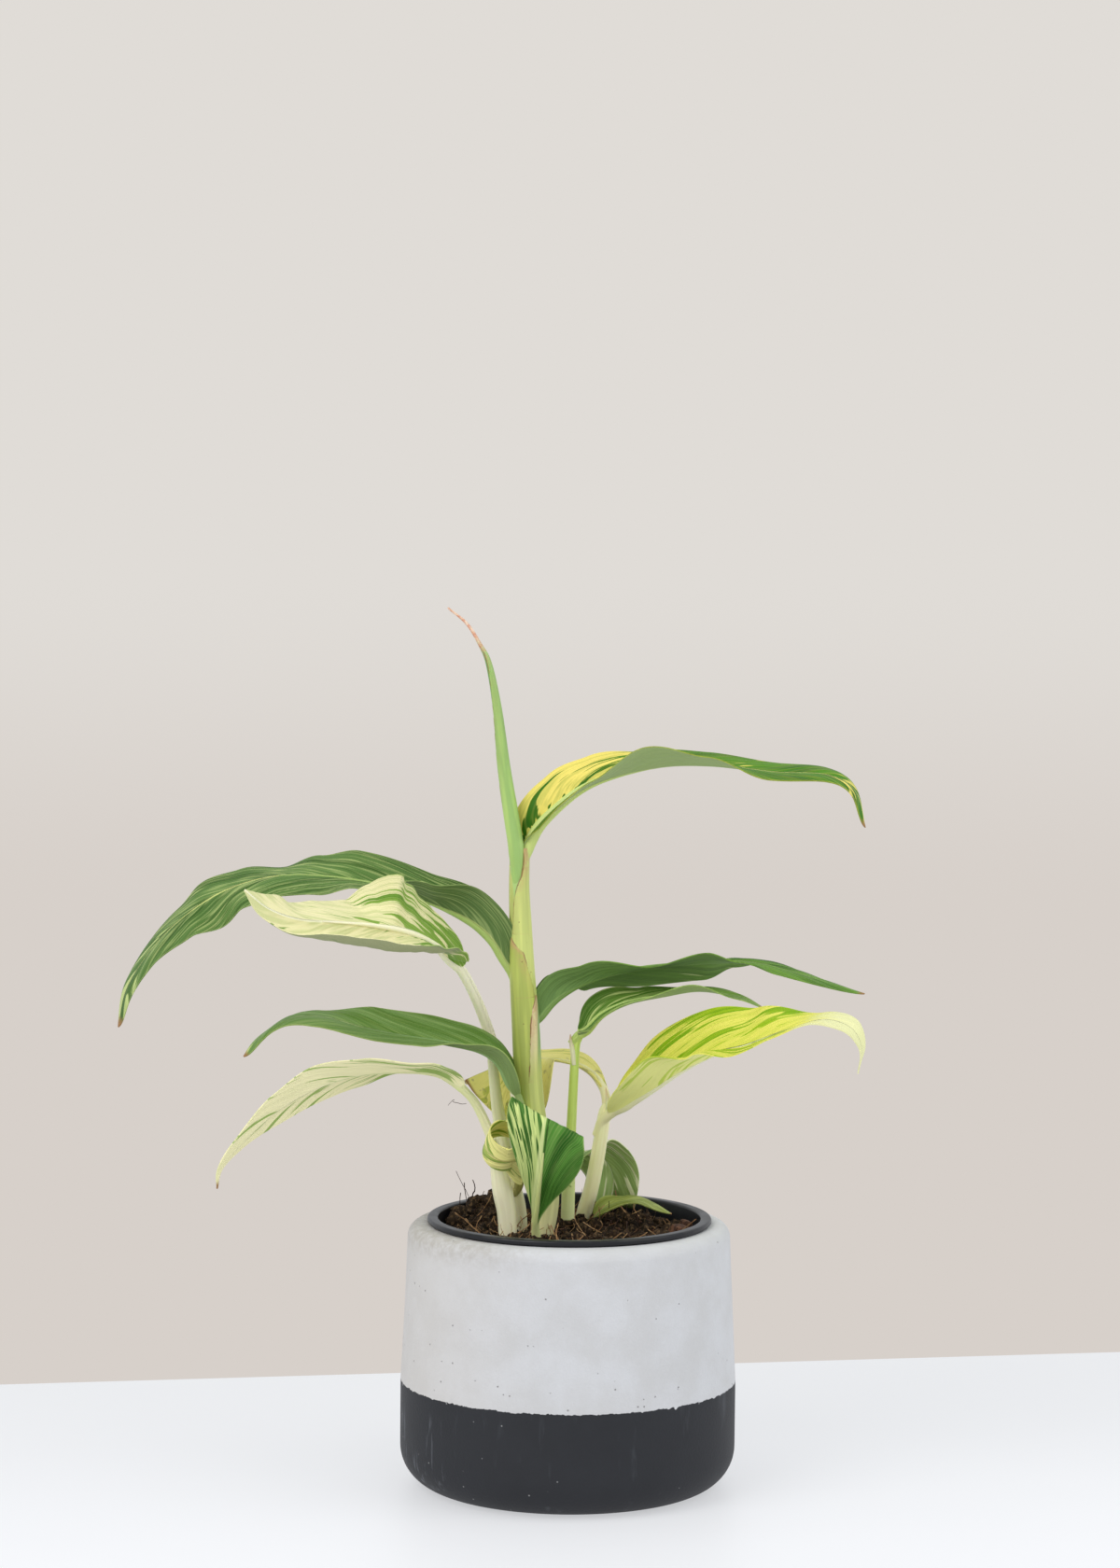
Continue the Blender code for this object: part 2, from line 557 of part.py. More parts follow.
clear_scene()
PARTS = new_collection("potted_shell_ginger")
HELPERS = new_collection("helpers")
CONCRETE = new_material("concrete", (0.55, 0.54, 0.52), 0.85)
CHARCOAL = new_material("charcoal_concrete", (0.035, 0.036, 0.04), 0.7)
BLACK_PLASTIC = new_material("black_plastic", (0.03, 0.033, 0.042), 0.45)
PEAT = new_material("peat", (0.045, 0.025, 0.016), 0.95)
GREEN_STEM = new_material("green_stem", (0.36, 0.43, 0.09), 0.5)
PALE_STEM = new_material("pale_stem", (0.62, 0.62, 0.36), 0.5)
GREEN_LEAF = new_material("green_leaf", (0.06, 0.17, 0.03), 0.45)
STREAKED_LEAF = new_material("streaked_leaf", (0.13, 0.3, 0.06), 0.45)
CREAM_LEAF = new_material("cream_leaf", (0.7, 0.7, 0.38), 0.5)
YELLOW_LEAF = new_material("yellow_leaf", (0.6, 0.64, 0.1), 0.45)

STEMS = {
    "main_stem": (MAIN_STEM, GREEN_STEM),
    "front_left_stem": (FRONT_LEFT_STEM, PALE_STEM),
    "back_left_stem": (BACK_LEFT_STEM, PALE_STEM),
    "thin_stem": (THIN_STEM, GREEN_STEM),
    "right_stem": (RIGHT_STEM, PALE_STEM),
    "spear_leaf": (SPEAR, GREEN_STEM),
}
LEAF_MATERIALS = {
    "upper_right_leaf": STREAKED_LEAF,
    "folded_left_leaf": CREAM_LEAF,
    "low_left_leaf": CREAM_LEAF,
    "bright_leaf": YELLOW_LEAF,
    "yellow_back_leaf": YELLOW_LEAF,
    "curled_leaf": YELLOW_LEAF,
    "front_leaf": STREAKED_LEAF,
}
CLEARED = (
    ("main_stem", SPEAR), ("upper_right_leaf", SPEAR), ("upper_right_leaf", MAIN_STEM),
    ("upper_left_leaf", MAIN_STEM), ("middle_right_leaf", MAIN_STEM), ("middle_left_leaf", MAIN_STEM),
    ("curled_leaf", BACK_LEFT_STEM), ("back_leaf", THIN_STEM),
    ("bright_leaf", RIGHT_STEM + (YELLOW_LEAF_ROOT,)),
)
IN_THE_SOIL = (MAIN_STEM, FRONT_LEFT_STEM, BACK_LEFT_STEM, THIN_STEM, RIGHT_STEM, FRONT_LEAF_ROOT,
               SOIL_LEAF_ROOT)

concrete_pot()
grow_pot()
SOIL = soil()
for stem_in_soil in IN_THE_SOIL:
    clear_by(SOIL, stem_in_soil)
NODES = {}
for node_name, (stations, stem_material) in STEMS.items():
    NODES[node_name] = place(tube_mesh(node_name, stations), node_name, [stem_material], PARTS)
LEAVES["curled_leaf"] = curled_leaf()
for node_name, leaf_shape in LEAVES.items():
    NODES[node_name] = leaf(node_name, leaf_shape, LEAF_MATERIALS.get(node_name, GREEN_LEAF))
for node_name, cleared_stem in CLEARED:
    clear_by(NODES[node_name], cleared_stem)
for node in PARTS.objects:
    node.data.shade_smooth()
    node.data.set_sharp_from_angle(angle=math.radians(SHARP_ANGLE))
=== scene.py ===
"""Potted shell ginger: the looks of the young plant and its two-tone pot, built round the CAD frame.

Lengths in the tables are millimetres, angles degrees, and colours the 0 to 255 that the eye reads.
+Z is up, the pot stands on Z = 0 with its axis on X = Y = 0, and the camera looks along +Y.
"""

import math
import random

import bpy
import numpy as np
from mathutils import Matrix, Vector, noise


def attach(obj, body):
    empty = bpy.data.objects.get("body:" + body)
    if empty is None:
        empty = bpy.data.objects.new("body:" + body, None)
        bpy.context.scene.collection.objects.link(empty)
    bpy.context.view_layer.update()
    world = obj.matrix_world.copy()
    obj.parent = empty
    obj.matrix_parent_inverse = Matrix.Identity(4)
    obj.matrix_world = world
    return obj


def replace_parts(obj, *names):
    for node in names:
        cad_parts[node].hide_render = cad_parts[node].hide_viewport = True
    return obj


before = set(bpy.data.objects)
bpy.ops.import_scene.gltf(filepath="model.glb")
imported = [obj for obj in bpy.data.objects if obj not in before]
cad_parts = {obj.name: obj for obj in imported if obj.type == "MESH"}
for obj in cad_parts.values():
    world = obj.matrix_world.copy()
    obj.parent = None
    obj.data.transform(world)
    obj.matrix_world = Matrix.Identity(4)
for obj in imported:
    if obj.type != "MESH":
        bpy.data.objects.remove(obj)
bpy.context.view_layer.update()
MM = 0.001

# The concrete pot. One thick casting, poured in a mould in two goes: charcoal cement for the base,
# then light grey cement on top, so the line between them is ragged and pricked with air bubbles.
POT_TOP = 111.3
POT_TOP_RADIUS = 68.0
POT_RADIUS = 70.9
POT_OPENING_RADIUS = 58.0
POT_FLOOR = 12.0
POT_BAND_TOP = 44.9
POT_SHOULDER = 5.5
POT_FOOT = 17.0
POT_WOBBLE = 0.35
SIDES = 160
TURNED_MERGE = 0.00001


def arc(centre, radius, start, end, steps):
    """Points of an arc, as radius and height."""
    turns = np.radians(np.linspace(start, end, steps + 1))
    return [(centre[0] + radius * math.cos(t), centre[1] + radius * math.sin(t)) for t in turns]


def choose(*pieces):
    """Selects these pieces alone, the last of them active."""
    bpy.ops.object.select_all(action="DESELECT")
    for piece in pieces:
        piece.select_set(True)
    bpy.context.view_layer.objects.active = pieces[-1]


def named(name):
    """The object that the last command added, under its own name."""
    piece = bpy.context.object
    piece.name = piece.data.name = name
    return piece


def finish_mesh(piece, materials, angle=35):
    """Gives a finished piece its materials and shading, and lets it ride on the frame."""
    for material in materials:
        piece.data.materials.append(material)
    choose(piece)
    bpy.ops.object.shade_smooth_by_angle(angle=math.radians(angle))
    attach(piece, "root")
    return piece


def turned(name, profile, sides):
    """Draws a profile of radius and height point by point, and spins it into a closed wall."""
    bpy.ops.object.select_all(action="DESELECT")
    bpy.ops.mesh.primitive_plane_add(size=MM)
    piece = named(name)
    bpy.ops.object.mode_set(mode="EDIT")
    bpy.ops.mesh.merge(type="CENTER")
    here = profile[0]
    bpy.ops.transform.translate(value=(here[0] * MM, 0.0, here[1] * MM))
    for radius, height in profile[1:]:
        step = ((radius - here[0]) * MM, 0.0, (height - here[1]) * MM)
        bpy.ops.mesh.extrude_region_move(TRANSFORM_OT_translate={"value": step})
        here = (radius, height)
    bpy.ops.mesh.select_all(action="SELECT")
    bpy.ops.mesh.spin(steps=sides, angle=math.tau, center=(0, 0, 0), axis=(0, 0, 1))
    bpy.ops.mesh.select_all(action="SELECT")
    bpy.ops.mesh.remove_doubles(threshold=TURNED_MERGE)
    bpy.ops.mesh.normals_make_consistent(inside=False)
    bpy.ops.object.mode_set(mode="OBJECT")
    return piece


def colour(levels):
    """The eye's 0 to 255 as the linear numbers that a shader takes."""
    parts = [level / 255 for level in levels]
    return tuple(((c + 0.055) / 1.055) ** 2.4 if c > 0.04 else c / 12.92 for c in parts) + (1.0,)


def fill(node, inputs):
    """Wires or sets a node's inputs. Three numbers for a colour are what the eye reads."""
    for key, value in inputs.items():
        socket = node.inputs[key]
        if isinstance(value, bpy.types.NodeSocket):
            node.id_data.links.new(value, socket)
        else:
            socket.default_value = colour(value) if socket.type == "RGBA" and len(value) == 3 else value
    return node


def add(kind, inputs, tree=None, **settings):
    """Adds a shader node to a tree, or beside the first node that feeds it, and sets it up."""
    feeds = (value for value in inputs.values() if isinstance(value, bpy.types.NodeSocket))
    made = (tree or next(feeds).id_data).nodes.new("ShaderNode" + kind)
    for key, value in settings.items():
        setattr(made, key, value)
    return fill(made, inputs)


def calc(operation, *values):
    """One sum, as a Math node."""
    return add("Math", dict(enumerate(values)), operation=operation).outputs[0]


def times(value, factor, offset=None):
    """The value times the factor, plus the offset where there is one."""
    if offset is None:
        return calc("MULTIPLY", value, factor)
    return calc("MULTIPLY_ADD", value, factor, offset)


def ramp(value, low, high, smooth=True):
    """0 below low and 1 above high, eased between them."""
    kind = "SMOOTHSTEP" if smooth else "LINEAR"
    return add("MapRange", {0: value, 1: low, 2: high}, interpolation_type=kind).outputs[0]


def fade(value, low, high):
    """1 below low and 0 above high."""
    return calc("SUBTRACT", 1, ramp(value, low, high))


def blend(share, first, second, kind="MIX"):
    """The first colour turning into the second as share goes from 0 to 1."""
    return add("Mix", {0: share, 6: first, 7: second}, data_type="RGBA", blend_type=kind).outputs[2]


def grain(place, scale, detail=2, rough=0.5):
    """A cloudy pattern from 0 to 1, so many lumps to the metre."""
    inputs = {"Vector": place, "Scale": scale, "Detail": detail, "Roughness": rough}
    return add("TexNoise", inputs).outputs[0]


def dots(place, scale):
    """Points strewn so many to the metre: how far the nearest is, and three numbers of its own."""
    made = add("TexVoronoi", {"Vector": place, "Scale": scale}).outputs
    return made["Distance"], add("SeparateColor", {0: made["Color"]}).outputs


def stretched(place, scale):
    """The place with each direction scaled, for patterns that run one way."""
    return add("Mapping", {"Vector": place, "Scale": scale}).outputs[0]


def axes(place):
    """The three numbers of a place."""
    return add("SeparateXYZ", {0: place}).outputs


def at(*numbers):
    """Up to three numbers as a place in a pattern."""
    return add("CombineXYZ", dict(enumerate(numbers))).outputs[0]


def new_material(name):
    """A new material, and the place on the object that its patterns are laid out from."""
    material = bpy.data.materials.new(name)
    material.use_nodes = True
    return material, add("TexCoord", {}, material.node_tree).outputs["Object"]


def coat(material, inputs):
    """Sets the inputs of a material's own shader."""
    fill(material.node_tree.nodes["Principled BSDF"], inputs)
    return material


def dressed(material, surface, roughness, specular, relief, depth):
    """Gives a material its colour, its shine and a relief of a real depth in metres."""
    bump = add("Bump", {"Strength": 1, "Distance": depth, "Height": relief}).outputs[0]
    return coat(material, {"Base Color": surface, "Roughness": roughness, "Specular IOR Level": specular,
                           "Normal": bump})


def cast_concrete():
    material, place = new_material("cast_concrete")
    side, _, height = axes(place)
    clouds = grain(place, 55, 6, 0.62)
    sand = grain(place, 900, 3, 0.6)
    light = blend(ramp(clouds, 0.3, 0.72), (195, 195, 196), (203, 204, 207))
    # Painted shade: the left side of the light cement is tinted a warmer, darker beige.
    light = blend(times(ramp(side, -0.005, -0.07), 0.35), light, (196, 188, 178))
    light = blend(times(sand, 0.2), light, (176, 176, 176))
    # Painted shade: a patchy, darker and browner band along the top of the left shoulder.
    left_shoulder_shade = times(ramp(height, 0.098, 0.1105), ramp(side, 0, -0.05))
    left_shoulder_shade = times(left_shoulder_shade, ramp(grain(place, 300, 7, 0.7), 0.3, 0.66))
    light = blend(times(left_shoulder_shade, 0.5), light, (150, 142, 127))
    dark = blend(clouds, (31, 32, 36), (39, 41, 46))
    smear = times(ramp(grain(stretched(place, (90, 90, 18)), 1, 4, 0.6), 0.58, 0.8), 0.3)
    scuffed = times(ramp(side, -0.045, -0.06), ramp(height, 0.04, 0.03))
    scratch = ramp(grain(stretched(place, (420, 420, 45)), 1, 3, 0.6), 0.56, 0.68)
    dark = blend(times(times(scratch, scuffed), 0.45, smear), dark, (112, 116, 124))
    far, chances = dots(place, 260)
    speck = times(fade(far, 0.05, 0.12), ramp(chances[0], 0.86, 0.9))
    dark = blend(times(speck, 0.7), dark, (170, 170, 170))
    ragged = times(grain(stretched(place, (1, 1, 0.25)), 260, 6, 0.75), 0.0030, -0.0015)
    far, _ = dots(stretched(place, (1, 1, 0.35)), 210)
    edge = times(fade(far, 0.05, 0.22), 0.0012, calc("ADD", height, ragged))
    upper = ramp(edge, POT_BAND_TOP * MM - 0.00008, POT_BAND_TOP * MM + 0.00008)
    from_line = calc("ABSOLUTE", calc("SUBTRACT", height, (POT_BAND_TOP + 4) * MM))
    far, chances = dots(place, 420)
    chosen = calc("GREATER_THAN", chances[0], times(fade(from_line, 0.002, 0.014), -0.14, 0.955))
    pit = times(times(fade(far, 0.05, 0.2), chosen), upper)
    light = blend(times(pit, 0.7), light, (120, 117, 112))
    relief = times(clouds, 0.15, calc("SUBTRACT", times(sand, 0.35), pit))
    return dressed(material, blend(upper, dark, light), times(upper, 0.28, 0.6), 0.3,
                   times(upper, -0.25, relief), 0.0004)


def concrete_pot():
    shoulder = arc((POT_TOP_RADIUS - POT_SHOULDER, POT_TOP - POT_SHOULDER), POT_SHOULDER, 90, 0, 12)
    foot = arc((POT_RADIUS - POT_FOOT, POT_FOOT), POT_FOOT, 0, -90, 18)
    wall = [(POT_TOP_RADIUS + (POT_RADIUS - POT_TOP_RADIUS) * t,
             POT_TOP - POT_SHOULDER + (POT_BAND_TOP - POT_TOP + POT_SHOULDER) * t)
            for t in np.linspace(0, 1, 16)[1:]]
    band = [(POT_RADIUS, z) for z in np.linspace(POT_BAND_TOP, POT_FOOT, 8)[1:-1]]
    inner = [(0, POT_FLOOR), (50, POT_FLOOR), (53, POT_FLOOR + 1), (54, POT_FLOOR + 4),
             (POT_OPENING_RADIUS, POT_TOP - 1), (POT_OPENING_RADIUS + 1, POT_TOP)]
    pot = turned("two_tone_pot", inner + shoulder + wall + band + foot + [(0, 0)], SIDES)
    for vertex in pot.data.vertices:
        radius = math.hypot(vertex.co.x, vertex.co.y)
        if radius > POT_OPENING_RADIUS * MM + MM and vertex.co.z > MM:
            swell = noise.noise(vertex.co * 22.0) * POT_WOBBLE * MM
            vertex.co.x *= 1 + swell / radius
            vertex.co.y *= 1 + swell / radius
    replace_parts(finish_mesh(pot, [cast_concrete()]), "concrete_pot")


concrete_pot()

# The nursery pot. A thin black pot, blow-moulded with a rolled lip, dropped into the concrete one
# and hung there by that lip. Watering has left a film of dust on the lip's top.
LIP_RADIUS = 60.0
LIP_TOP = 114.0
LIP_WIDTH = 4.6
LIP_ROUND = 1.0
LIP_CHAMFER = 0.5
SEAT_GAP = 0.3
WALL = 1.2
GROW_FLOOR_RADIUS = 43.0
GROW_BOTTOM = 18.0
DRAIN_HOLES = 6
DRAIN_RADIUS = 4.0
DRAIN_CIRCLE = 30.0


def black_plastic():
    material, place = new_material("black_plastic")
    film = grain(place, 90, 5, 0.65)
    on_top = ramp(axes(place)[2], (LIP_TOP - 1.2) * MM, LIP_TOP * MM)
    dust = times(times(ramp(film, 0.4, 0.72), on_top), 0.2, times(film, 0.03))
    return dressed(material, blend(dust, (14, 16, 22), (110, 107, 102)), times(dust, 0.6, 0.33), 0.32,
                   grain(place, 1400), 0.00004)


def grow_radius(height):
    """Inner radius of the nursery pot at a height."""
    top = LIP_RADIUS - LIP_WIDTH
    return GROW_FLOOR_RADIUS + (top - GROW_FLOOR_RADIUS) * (height - GROW_BOTTOM) / (LIP_TOP - GROW_BOTTOM)


def grow_pot():
    floor = GROW_BOTTOM + WALL
    seat = POT_TOP + SEAT_GAP
    inside = LIP_RADIUS - LIP_WIDTH
    lip = arc((inside + LIP_ROUND, LIP_TOP - LIP_ROUND), LIP_ROUND, 180, 90, 5)
    lip += arc((LIP_RADIUS - LIP_ROUND, LIP_TOP - LIP_ROUND), LIP_ROUND, 90, 0, 5)
    profile = [(0, floor), (grow_radius(floor), floor), *lip, (LIP_RADIUS, seat + LIP_CHAMFER),
               (LIP_RADIUS - LIP_CHAMFER, seat), (grow_radius(seat) + WALL, seat),
               (GROW_FLOOR_RADIUS + WALL, GROW_BOTTOM), (0, GROW_BOTTOM)]
    pot = turned("black_pot", profile, SIDES)
    for turn in np.arange(DRAIN_HOLES) * math.tau / DRAIN_HOLES:
        place = Vector((DRAIN_CIRCLE * math.cos(turn), DRAIN_CIRCLE * math.sin(turn), floor)) * MM
        bpy.ops.object.select_all(action="DESELECT")
        bpy.ops.mesh.primitive_cylinder_add(vertices=32, radius=DRAIN_RADIUS * MM, depth=5 * WALL * MM,
                                            location=place)
        cutter = bpy.context.object
        choose(pot)
        boolean = pot.modifiers.new("drain", "BOOLEAN")
        boolean.operation = "DIFFERENCE"
        boolean.object = cutter
        bpy.ops.object.modifier_apply(modifier="drain")
        bpy.data.objects.remove(cutter, do_unlink=True)
    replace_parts(finish_mesh(pot, [black_plastic()]), "grow_pot")


grow_pot()

# The soil. Dark peat potting mix, crumbly and open, heaped at the back left where the plant was
# firmed in, with fibres and bark chips that lie on it and stick out of it.
SOIL_LEVEL = 105.5
HEAPS = ((-36, 27, 9.5, 16.0), (6, 14, 3.6, 20.5))
CRUMBS = ((1.3, 8.0), (0.8, 3.5), (0.7, 1.7), (0.35, 0.9))
SOIL_RINGS = 90
SOIL_SIDES = 240
LEVEL_RIM = 0.3
LOOSE_GAP = 2.5
CRUMB_COUNT = 1700
CRUMB_SIZES = (0.45, 4.4)
CHIP_COUNT = 120
CHIP_REACH = 0.93


def soil_height(x, y):
    """Top of the soil: heaped at the back left, raised round the stems, crumbly all over."""
    top = SOIL_LEVEL
    for heap_x, heap_y, height, spread in HEAPS:
        top += height * math.exp(-(math.hypot(x - heap_x, y - heap_y) / spread) ** 2)
    for height, width in CRUMBS:
        top += height * noise.noise(Vector((x, y, width)) / width)
    return top


def peat():
    material, place = new_material("peat")
    surface = blend(ramp(grain(place, 120, 3), 0.35, 0.7), (26, 19, 13), (54, 41, 29))
    surface = blend(ramp(grain(place, 700, 4, 0.6), 0.46, 0.7), surface, (112, 88, 62))
    return dressed(material, surface, 0.95, 0.2, grain(place, 1500, 4, 0.7), 0.0006)


def soil():
    edge = grow_radius(SOIL_LEVEL) - SEAT_GAP
    floor = GROW_BOTTOM + WALL + SEAT_GAP
    top = [(edge * ring / SOIL_RINGS, SOIL_LEVEL) for ring in range(SOIL_RINGS + 1)]
    heap = turned("soil_heap", top + [(grow_radius(floor) - SEAT_GAP, floor), (0, floor)], SOIL_SIDES)
    for vertex in heap.data.vertices:
        x, y, z = vertex.co / MM
        if z > SOIL_LEVEL - 1 and math.hypot(x, y) < edge - LEVEL_RIM:
            vertex.co.z = soil_height(x, y) * MM
    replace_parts(finish_mesh(heap, [PEAT], 60), "soil")


def joined(name, *pieces):
    """Joins the pieces to the last of them, under this name."""
    choose(*pieces)
    bpy.ops.object.join()
    return named(name)


def copies(name, base, places):
    """One piece made of copies of the base piece, each with its own mesh, at every place."""
    made = []
    for place in places:
        mesh = base.data.copy()
        mesh.transform(place)
        made.append(bpy.data.objects.new(name, mesh))
        bpy.context.scene.collection.objects.link(made[-1])
    bpy.data.objects.remove(base, do_unlink=True)
    return joined(name, *made)


def crumbs(dice):
    """Loose lumps of peat, each a squashed ball with its own size, turn and place on the soil."""
    least, most = CRUMB_SIZES
    bpy.ops.object.select_all(action="DESELECT")
    bpy.ops.mesh.primitive_uv_sphere_add(segments=7, ring_count=5, radius=MM)
    base = bpy.context.object
    for vertex in base.data.vertices:
        vertex.co *= 1 + 0.6 * noise.noise(vertex.co * 1500.0)
    places = []
    edge = grow_radius(SOIL_LEVEL) - LOOSE_GAP
    while len(places) < CRUMB_COUNT:
        x, y = dice.uniform(-edge, edge), dice.uniform(-edge, edge)
        if math.hypot(x, y) > edge:
            continue
        size = least + (most - least) * dice.random() ** 3.5
        turn = Matrix.Rotation(dice.uniform(0, math.tau), 4, (dice.gauss(0, 1), dice.gauss(0, 1), 1))
        shape = Matrix.Diagonal((size, size * dice.uniform(0.5, 0.9), size * dice.uniform(0.4, 0.8), 1.0))
        spot = Vector((x, y, soil_height(x, y) + 0.25 * size)) * MM
        places.append(Matrix.Translation(spot) @ turn @ shape)
    return copies("soil_crumbs", base, places)


def bark_chips(dice):
    """Flat splinters of bark: a bevelled slab, scattered at all tilts, the large ones each in its place."""
    bpy.ops.object.select_all(action="DESELECT")
    bpy.ops.mesh.primitive_cube_add(size=2 * MM)
    base = bpy.context.object
    bpy.ops.object.mode_set(mode="EDIT")
    bpy.ops.mesh.bevel(offset=0.35 * MM, segments=1)
    bpy.ops.object.mode_set(mode="OBJECT")
    for vertex in base.data.vertices:
        vertex.co *= 1 + 0.35 * noise.noise(vertex.co * 700.0)
    places = []
    for chip in range(CHIP_COUNT):
        far = grow_radius(SOIL_LEVEL) * CHIP_REACH * dice.random() ** 0.5
        turn = dice.uniform(0, math.tau)
        x, y = far * math.cos(turn), far * math.sin(turn)
        length = dice.uniform(0.9, 2.6)
        sizes = (length, length * dice.uniform(0.25, 0.6), length * dice.uniform(0.12, 0.25))
        lean = Matrix.Rotation(dice.gauss(0, 0.5), 4, (dice.gauss(0, 1), dice.gauss(0, 1), 0.01))
        spin = Matrix.Rotation(dice.uniform(0, math.tau), 4, "Z")
        if chip < len(BIG_CHIPS):
            x, y, rise, *sizes = BIG_CHIPS[chip]
            lean = Matrix.Rotation(0.3, 4, "Y")
        else:
            rise = soil_height(x, y) + 0.3
        spot = Vector((x, y, rise)) * MM
        places.append(Matrix.Translation(spot) @ lean @ spin @ Matrix.Diagonal((*sizes, 1.0)))
    return copies("bark_chips", base, places)


def thread(sides, dice):
    """A wandering thread of plain length and thickness, drawn out of a small disc step by step."""
    bpy.ops.object.select_all(action="DESELECT")
    bpy.ops.mesh.primitive_circle_add(vertices=sides, radius=THREAD_RADIUS * MM, fill_type="NGON",
                                      rotation=(0, math.pi / 2, 0))
    piece = bpy.context.object
    bpy.ops.object.transform_apply(location=False, rotation=True, scale=False)
    bpy.ops.object.mode_set(mode="EDIT")
    sideways, rise = 0.0, 0.0
    for _ in range(THREAD_STEPS):
        sideways, rise = sideways + dice.gauss(0, 0.25), rise + dice.gauss(0, 0.2)
        step = Vector((math.cos(sideways) * math.cos(rise), math.sin(sideways), math.sin(rise)))
        step *= THREAD_LENGTH / THREAD_STEPS * MM
        bpy.ops.mesh.extrude_region_move(TRANSFORM_OT_translate={"value": step})
    bpy.ops.mesh.select_all(action="SELECT")
    bpy.ops.mesh.normals_make_consistent(inside=False)
    bpy.ops.object.mode_set(mode="OBJECT")
    return piece


def laid(x, y, z, heading, rise, length, thick):
    """Where a thread goes: its start, its heading and rise, its length and its thickness."""
    turn = Matrix.Rotation(heading, 4, "Z") @ Matrix.Rotation(-rise, 4, "Y")
    across = thick / THREAD_RADIUS
    return Matrix.Translation(Vector((x, y, z)) * MM) @ turn @ Matrix.Diagonal(
        (length / THREAD_LENGTH, 0.5 * (across + length / THREAD_LENGTH), across, 1.0))


def threads(name, starts, sides, kinds, dice):
    """Fine roots and husk fibres, in a few shapes of thread, as one piece."""
    made = []
    for kind in range(kinds):
        places = [laid(*start) for start in starts[kind::kinds]]
        made.append(copies(name, thread(sides, dice), places))
    return joined(name, *made[::-1])


def scattered(count, lengths, thicks, lift, dice):
    """Threads strewn on the soil: each one's start, heading, rise, length and thickness."""
    edge = grow_radius(SOIL_LEVEL) - LOOSE_GAP
    starts = []
    while len(starts) < count:
        far = edge * dice.random() ** 0.5
        turn, heading = dice.uniform(0, math.tau), dice.uniform(0, math.tau)
        x, y, length = far * math.cos(turn), far * math.sin(turn), dice.uniform(*lengths)
        if math.hypot(x + length * math.cos(heading), y + length * math.sin(heading)) < edge:
            starts.append((x, y, soil_height(x, y) + 0.2, heading, dice.gauss(0.1, lift), length,
                           dice.uniform(*thicks)))
    return starts


def plain_matter(name, first, second, scale):
    """Bark, husk or root: two browns in a stretched grain."""
    material, place = new_material(name)
    mottle = grain(stretched(place, (1, 1, 0.4)), scale, 4, 0.65)
    return dressed(material, blend(ramp(mottle, 0.35, 0.65), first, second), 0.8, 0.25, mottle, 0.0003)


# The large chips, as place and half sizes, and the longest roots, as laid takes them.
BIG_CHIPS = ((46.5, -3, 108.5, 4.2, 3.2, 2.6), (49.5, 3, 109.5, 2.6, 2.2, 2.4),
             (42, 2, 107.5, 3, 2.4, 1.5), (-13, -40, 106.6, 3.4, 1.4, 0.7),
             (22, -22, 106.8, 2.6, 1.2, 0.8))
HAIRS = ((-42.1, 30, 113.5, 3.6, 1.15, 17, 0.12), (-41.8, 32, 113.8, 0.9, 0.95, 9, 0.4),
         (-36.5, 28, 119.4, 4.2, -0.2, 9, 0.15), (-44, 27, 113.5, 0.5, 0.9, 8, 0.3),
         (33, 30, 106.5, 0.5, 1.1, 14, 0.15), (36, 28, 106.5, 2.2, 1, 11, 0.22),
         (-49.2, -12.6, 164.2, 0, -0.4, 6, 0.12), (-48.5, -12.6, 164.9, 3.5, -0.1, 3.5, 0.12),
         (-47, 18, 112, 0.3, 0.75, 7, 0.25), (-3, -24, 106, 0.4, 0.9, 9, 0.2),
         (1, -28, 106, 0.9, 0.8, 10, 0.16))
THREAD_LENGTH = 10.0
THREAD_STEPS = 7
THREAD_RADIUS = 0.2
PEAT = peat()
soil()
finish_mesh(crumbs(random.Random(5)), [PEAT], 60)
BARK = plain_matter("bark", (52, 33, 24), (98, 66, 48), 500)
finish_mesh(bark_chips(random.Random(9)), [BARK], 40)
HUSK = plain_matter("husk", (128, 92, 60), (184, 148, 104), 300)
PALE_STARTS = scattered(210, (5, 18), (0.12, 0.28), 0.4, random.Random(11))
finish_mesh(threads("pale_fibres", PALE_STARTS, 3, 6, random.Random(12)), [HUSK], 80)
ROOT = plain_matter("dark_root", (40, 27, 20), (70, 48, 34), 300)
DARK_STARTS = scattered(200, (5, 15), (0.14, 0.34), 0.45, random.Random(13)) + list(HAIRS)
finish_mesh(threads("dark_fibres", DARK_STARTS, 4, 5, random.Random(14)), [ROOT], 80)

# The stems. Fleshy canes of leaf sheaths rolled one in another, smooth and finely ribbed along
# their length, cream at the foot and greener higher up, each sheath's edge dry and brown.
PATH_STEPS = 16
# The canes' middle lines, each point with the cane's radius there.
MAIN_STEM = (
    (-12, -10, 84, 4.4), (-12, -10, 104, 4.6), (-10.2, -9, 116, 5.2), (-10, -8, 126, 5.5),
    (-13, -6, 142, 5.9), (-16.4, -5, 159, 6), (-18.1, -4, 179, 5.9), (-19, -3, 195, 5.8),
    (-20.3, -2, 214, 5.4), (-21.2, -1, 234, 4.8), (-22.1, 0, 253, 4.3), (-21.9, 0, 270, 4.1),
)
FRONT_LEFT_STEM = (
    (-25.5, -11, 84, 3.8), (-25.8, -11, 106, 3.9), (-26.4, -11, 117, 4),
    (-28.3, -11.5, 127, 4.2), (-30.3, -12.5, 138, 3.2),
)
BACK_LEFT_STEM = (
    (-21, 4, 84, 3.6), (-21.3, 4, 106, 3.7), (-22.1, 4, 117, 3.7), (-24.2, 4, 126, 3.6),
    (-26.6, 4, 136, 3.4), (-28.8, 3, 149, 3), (-31, 2, 162, 2.5), (-33, 1, 181, 2.1),
)
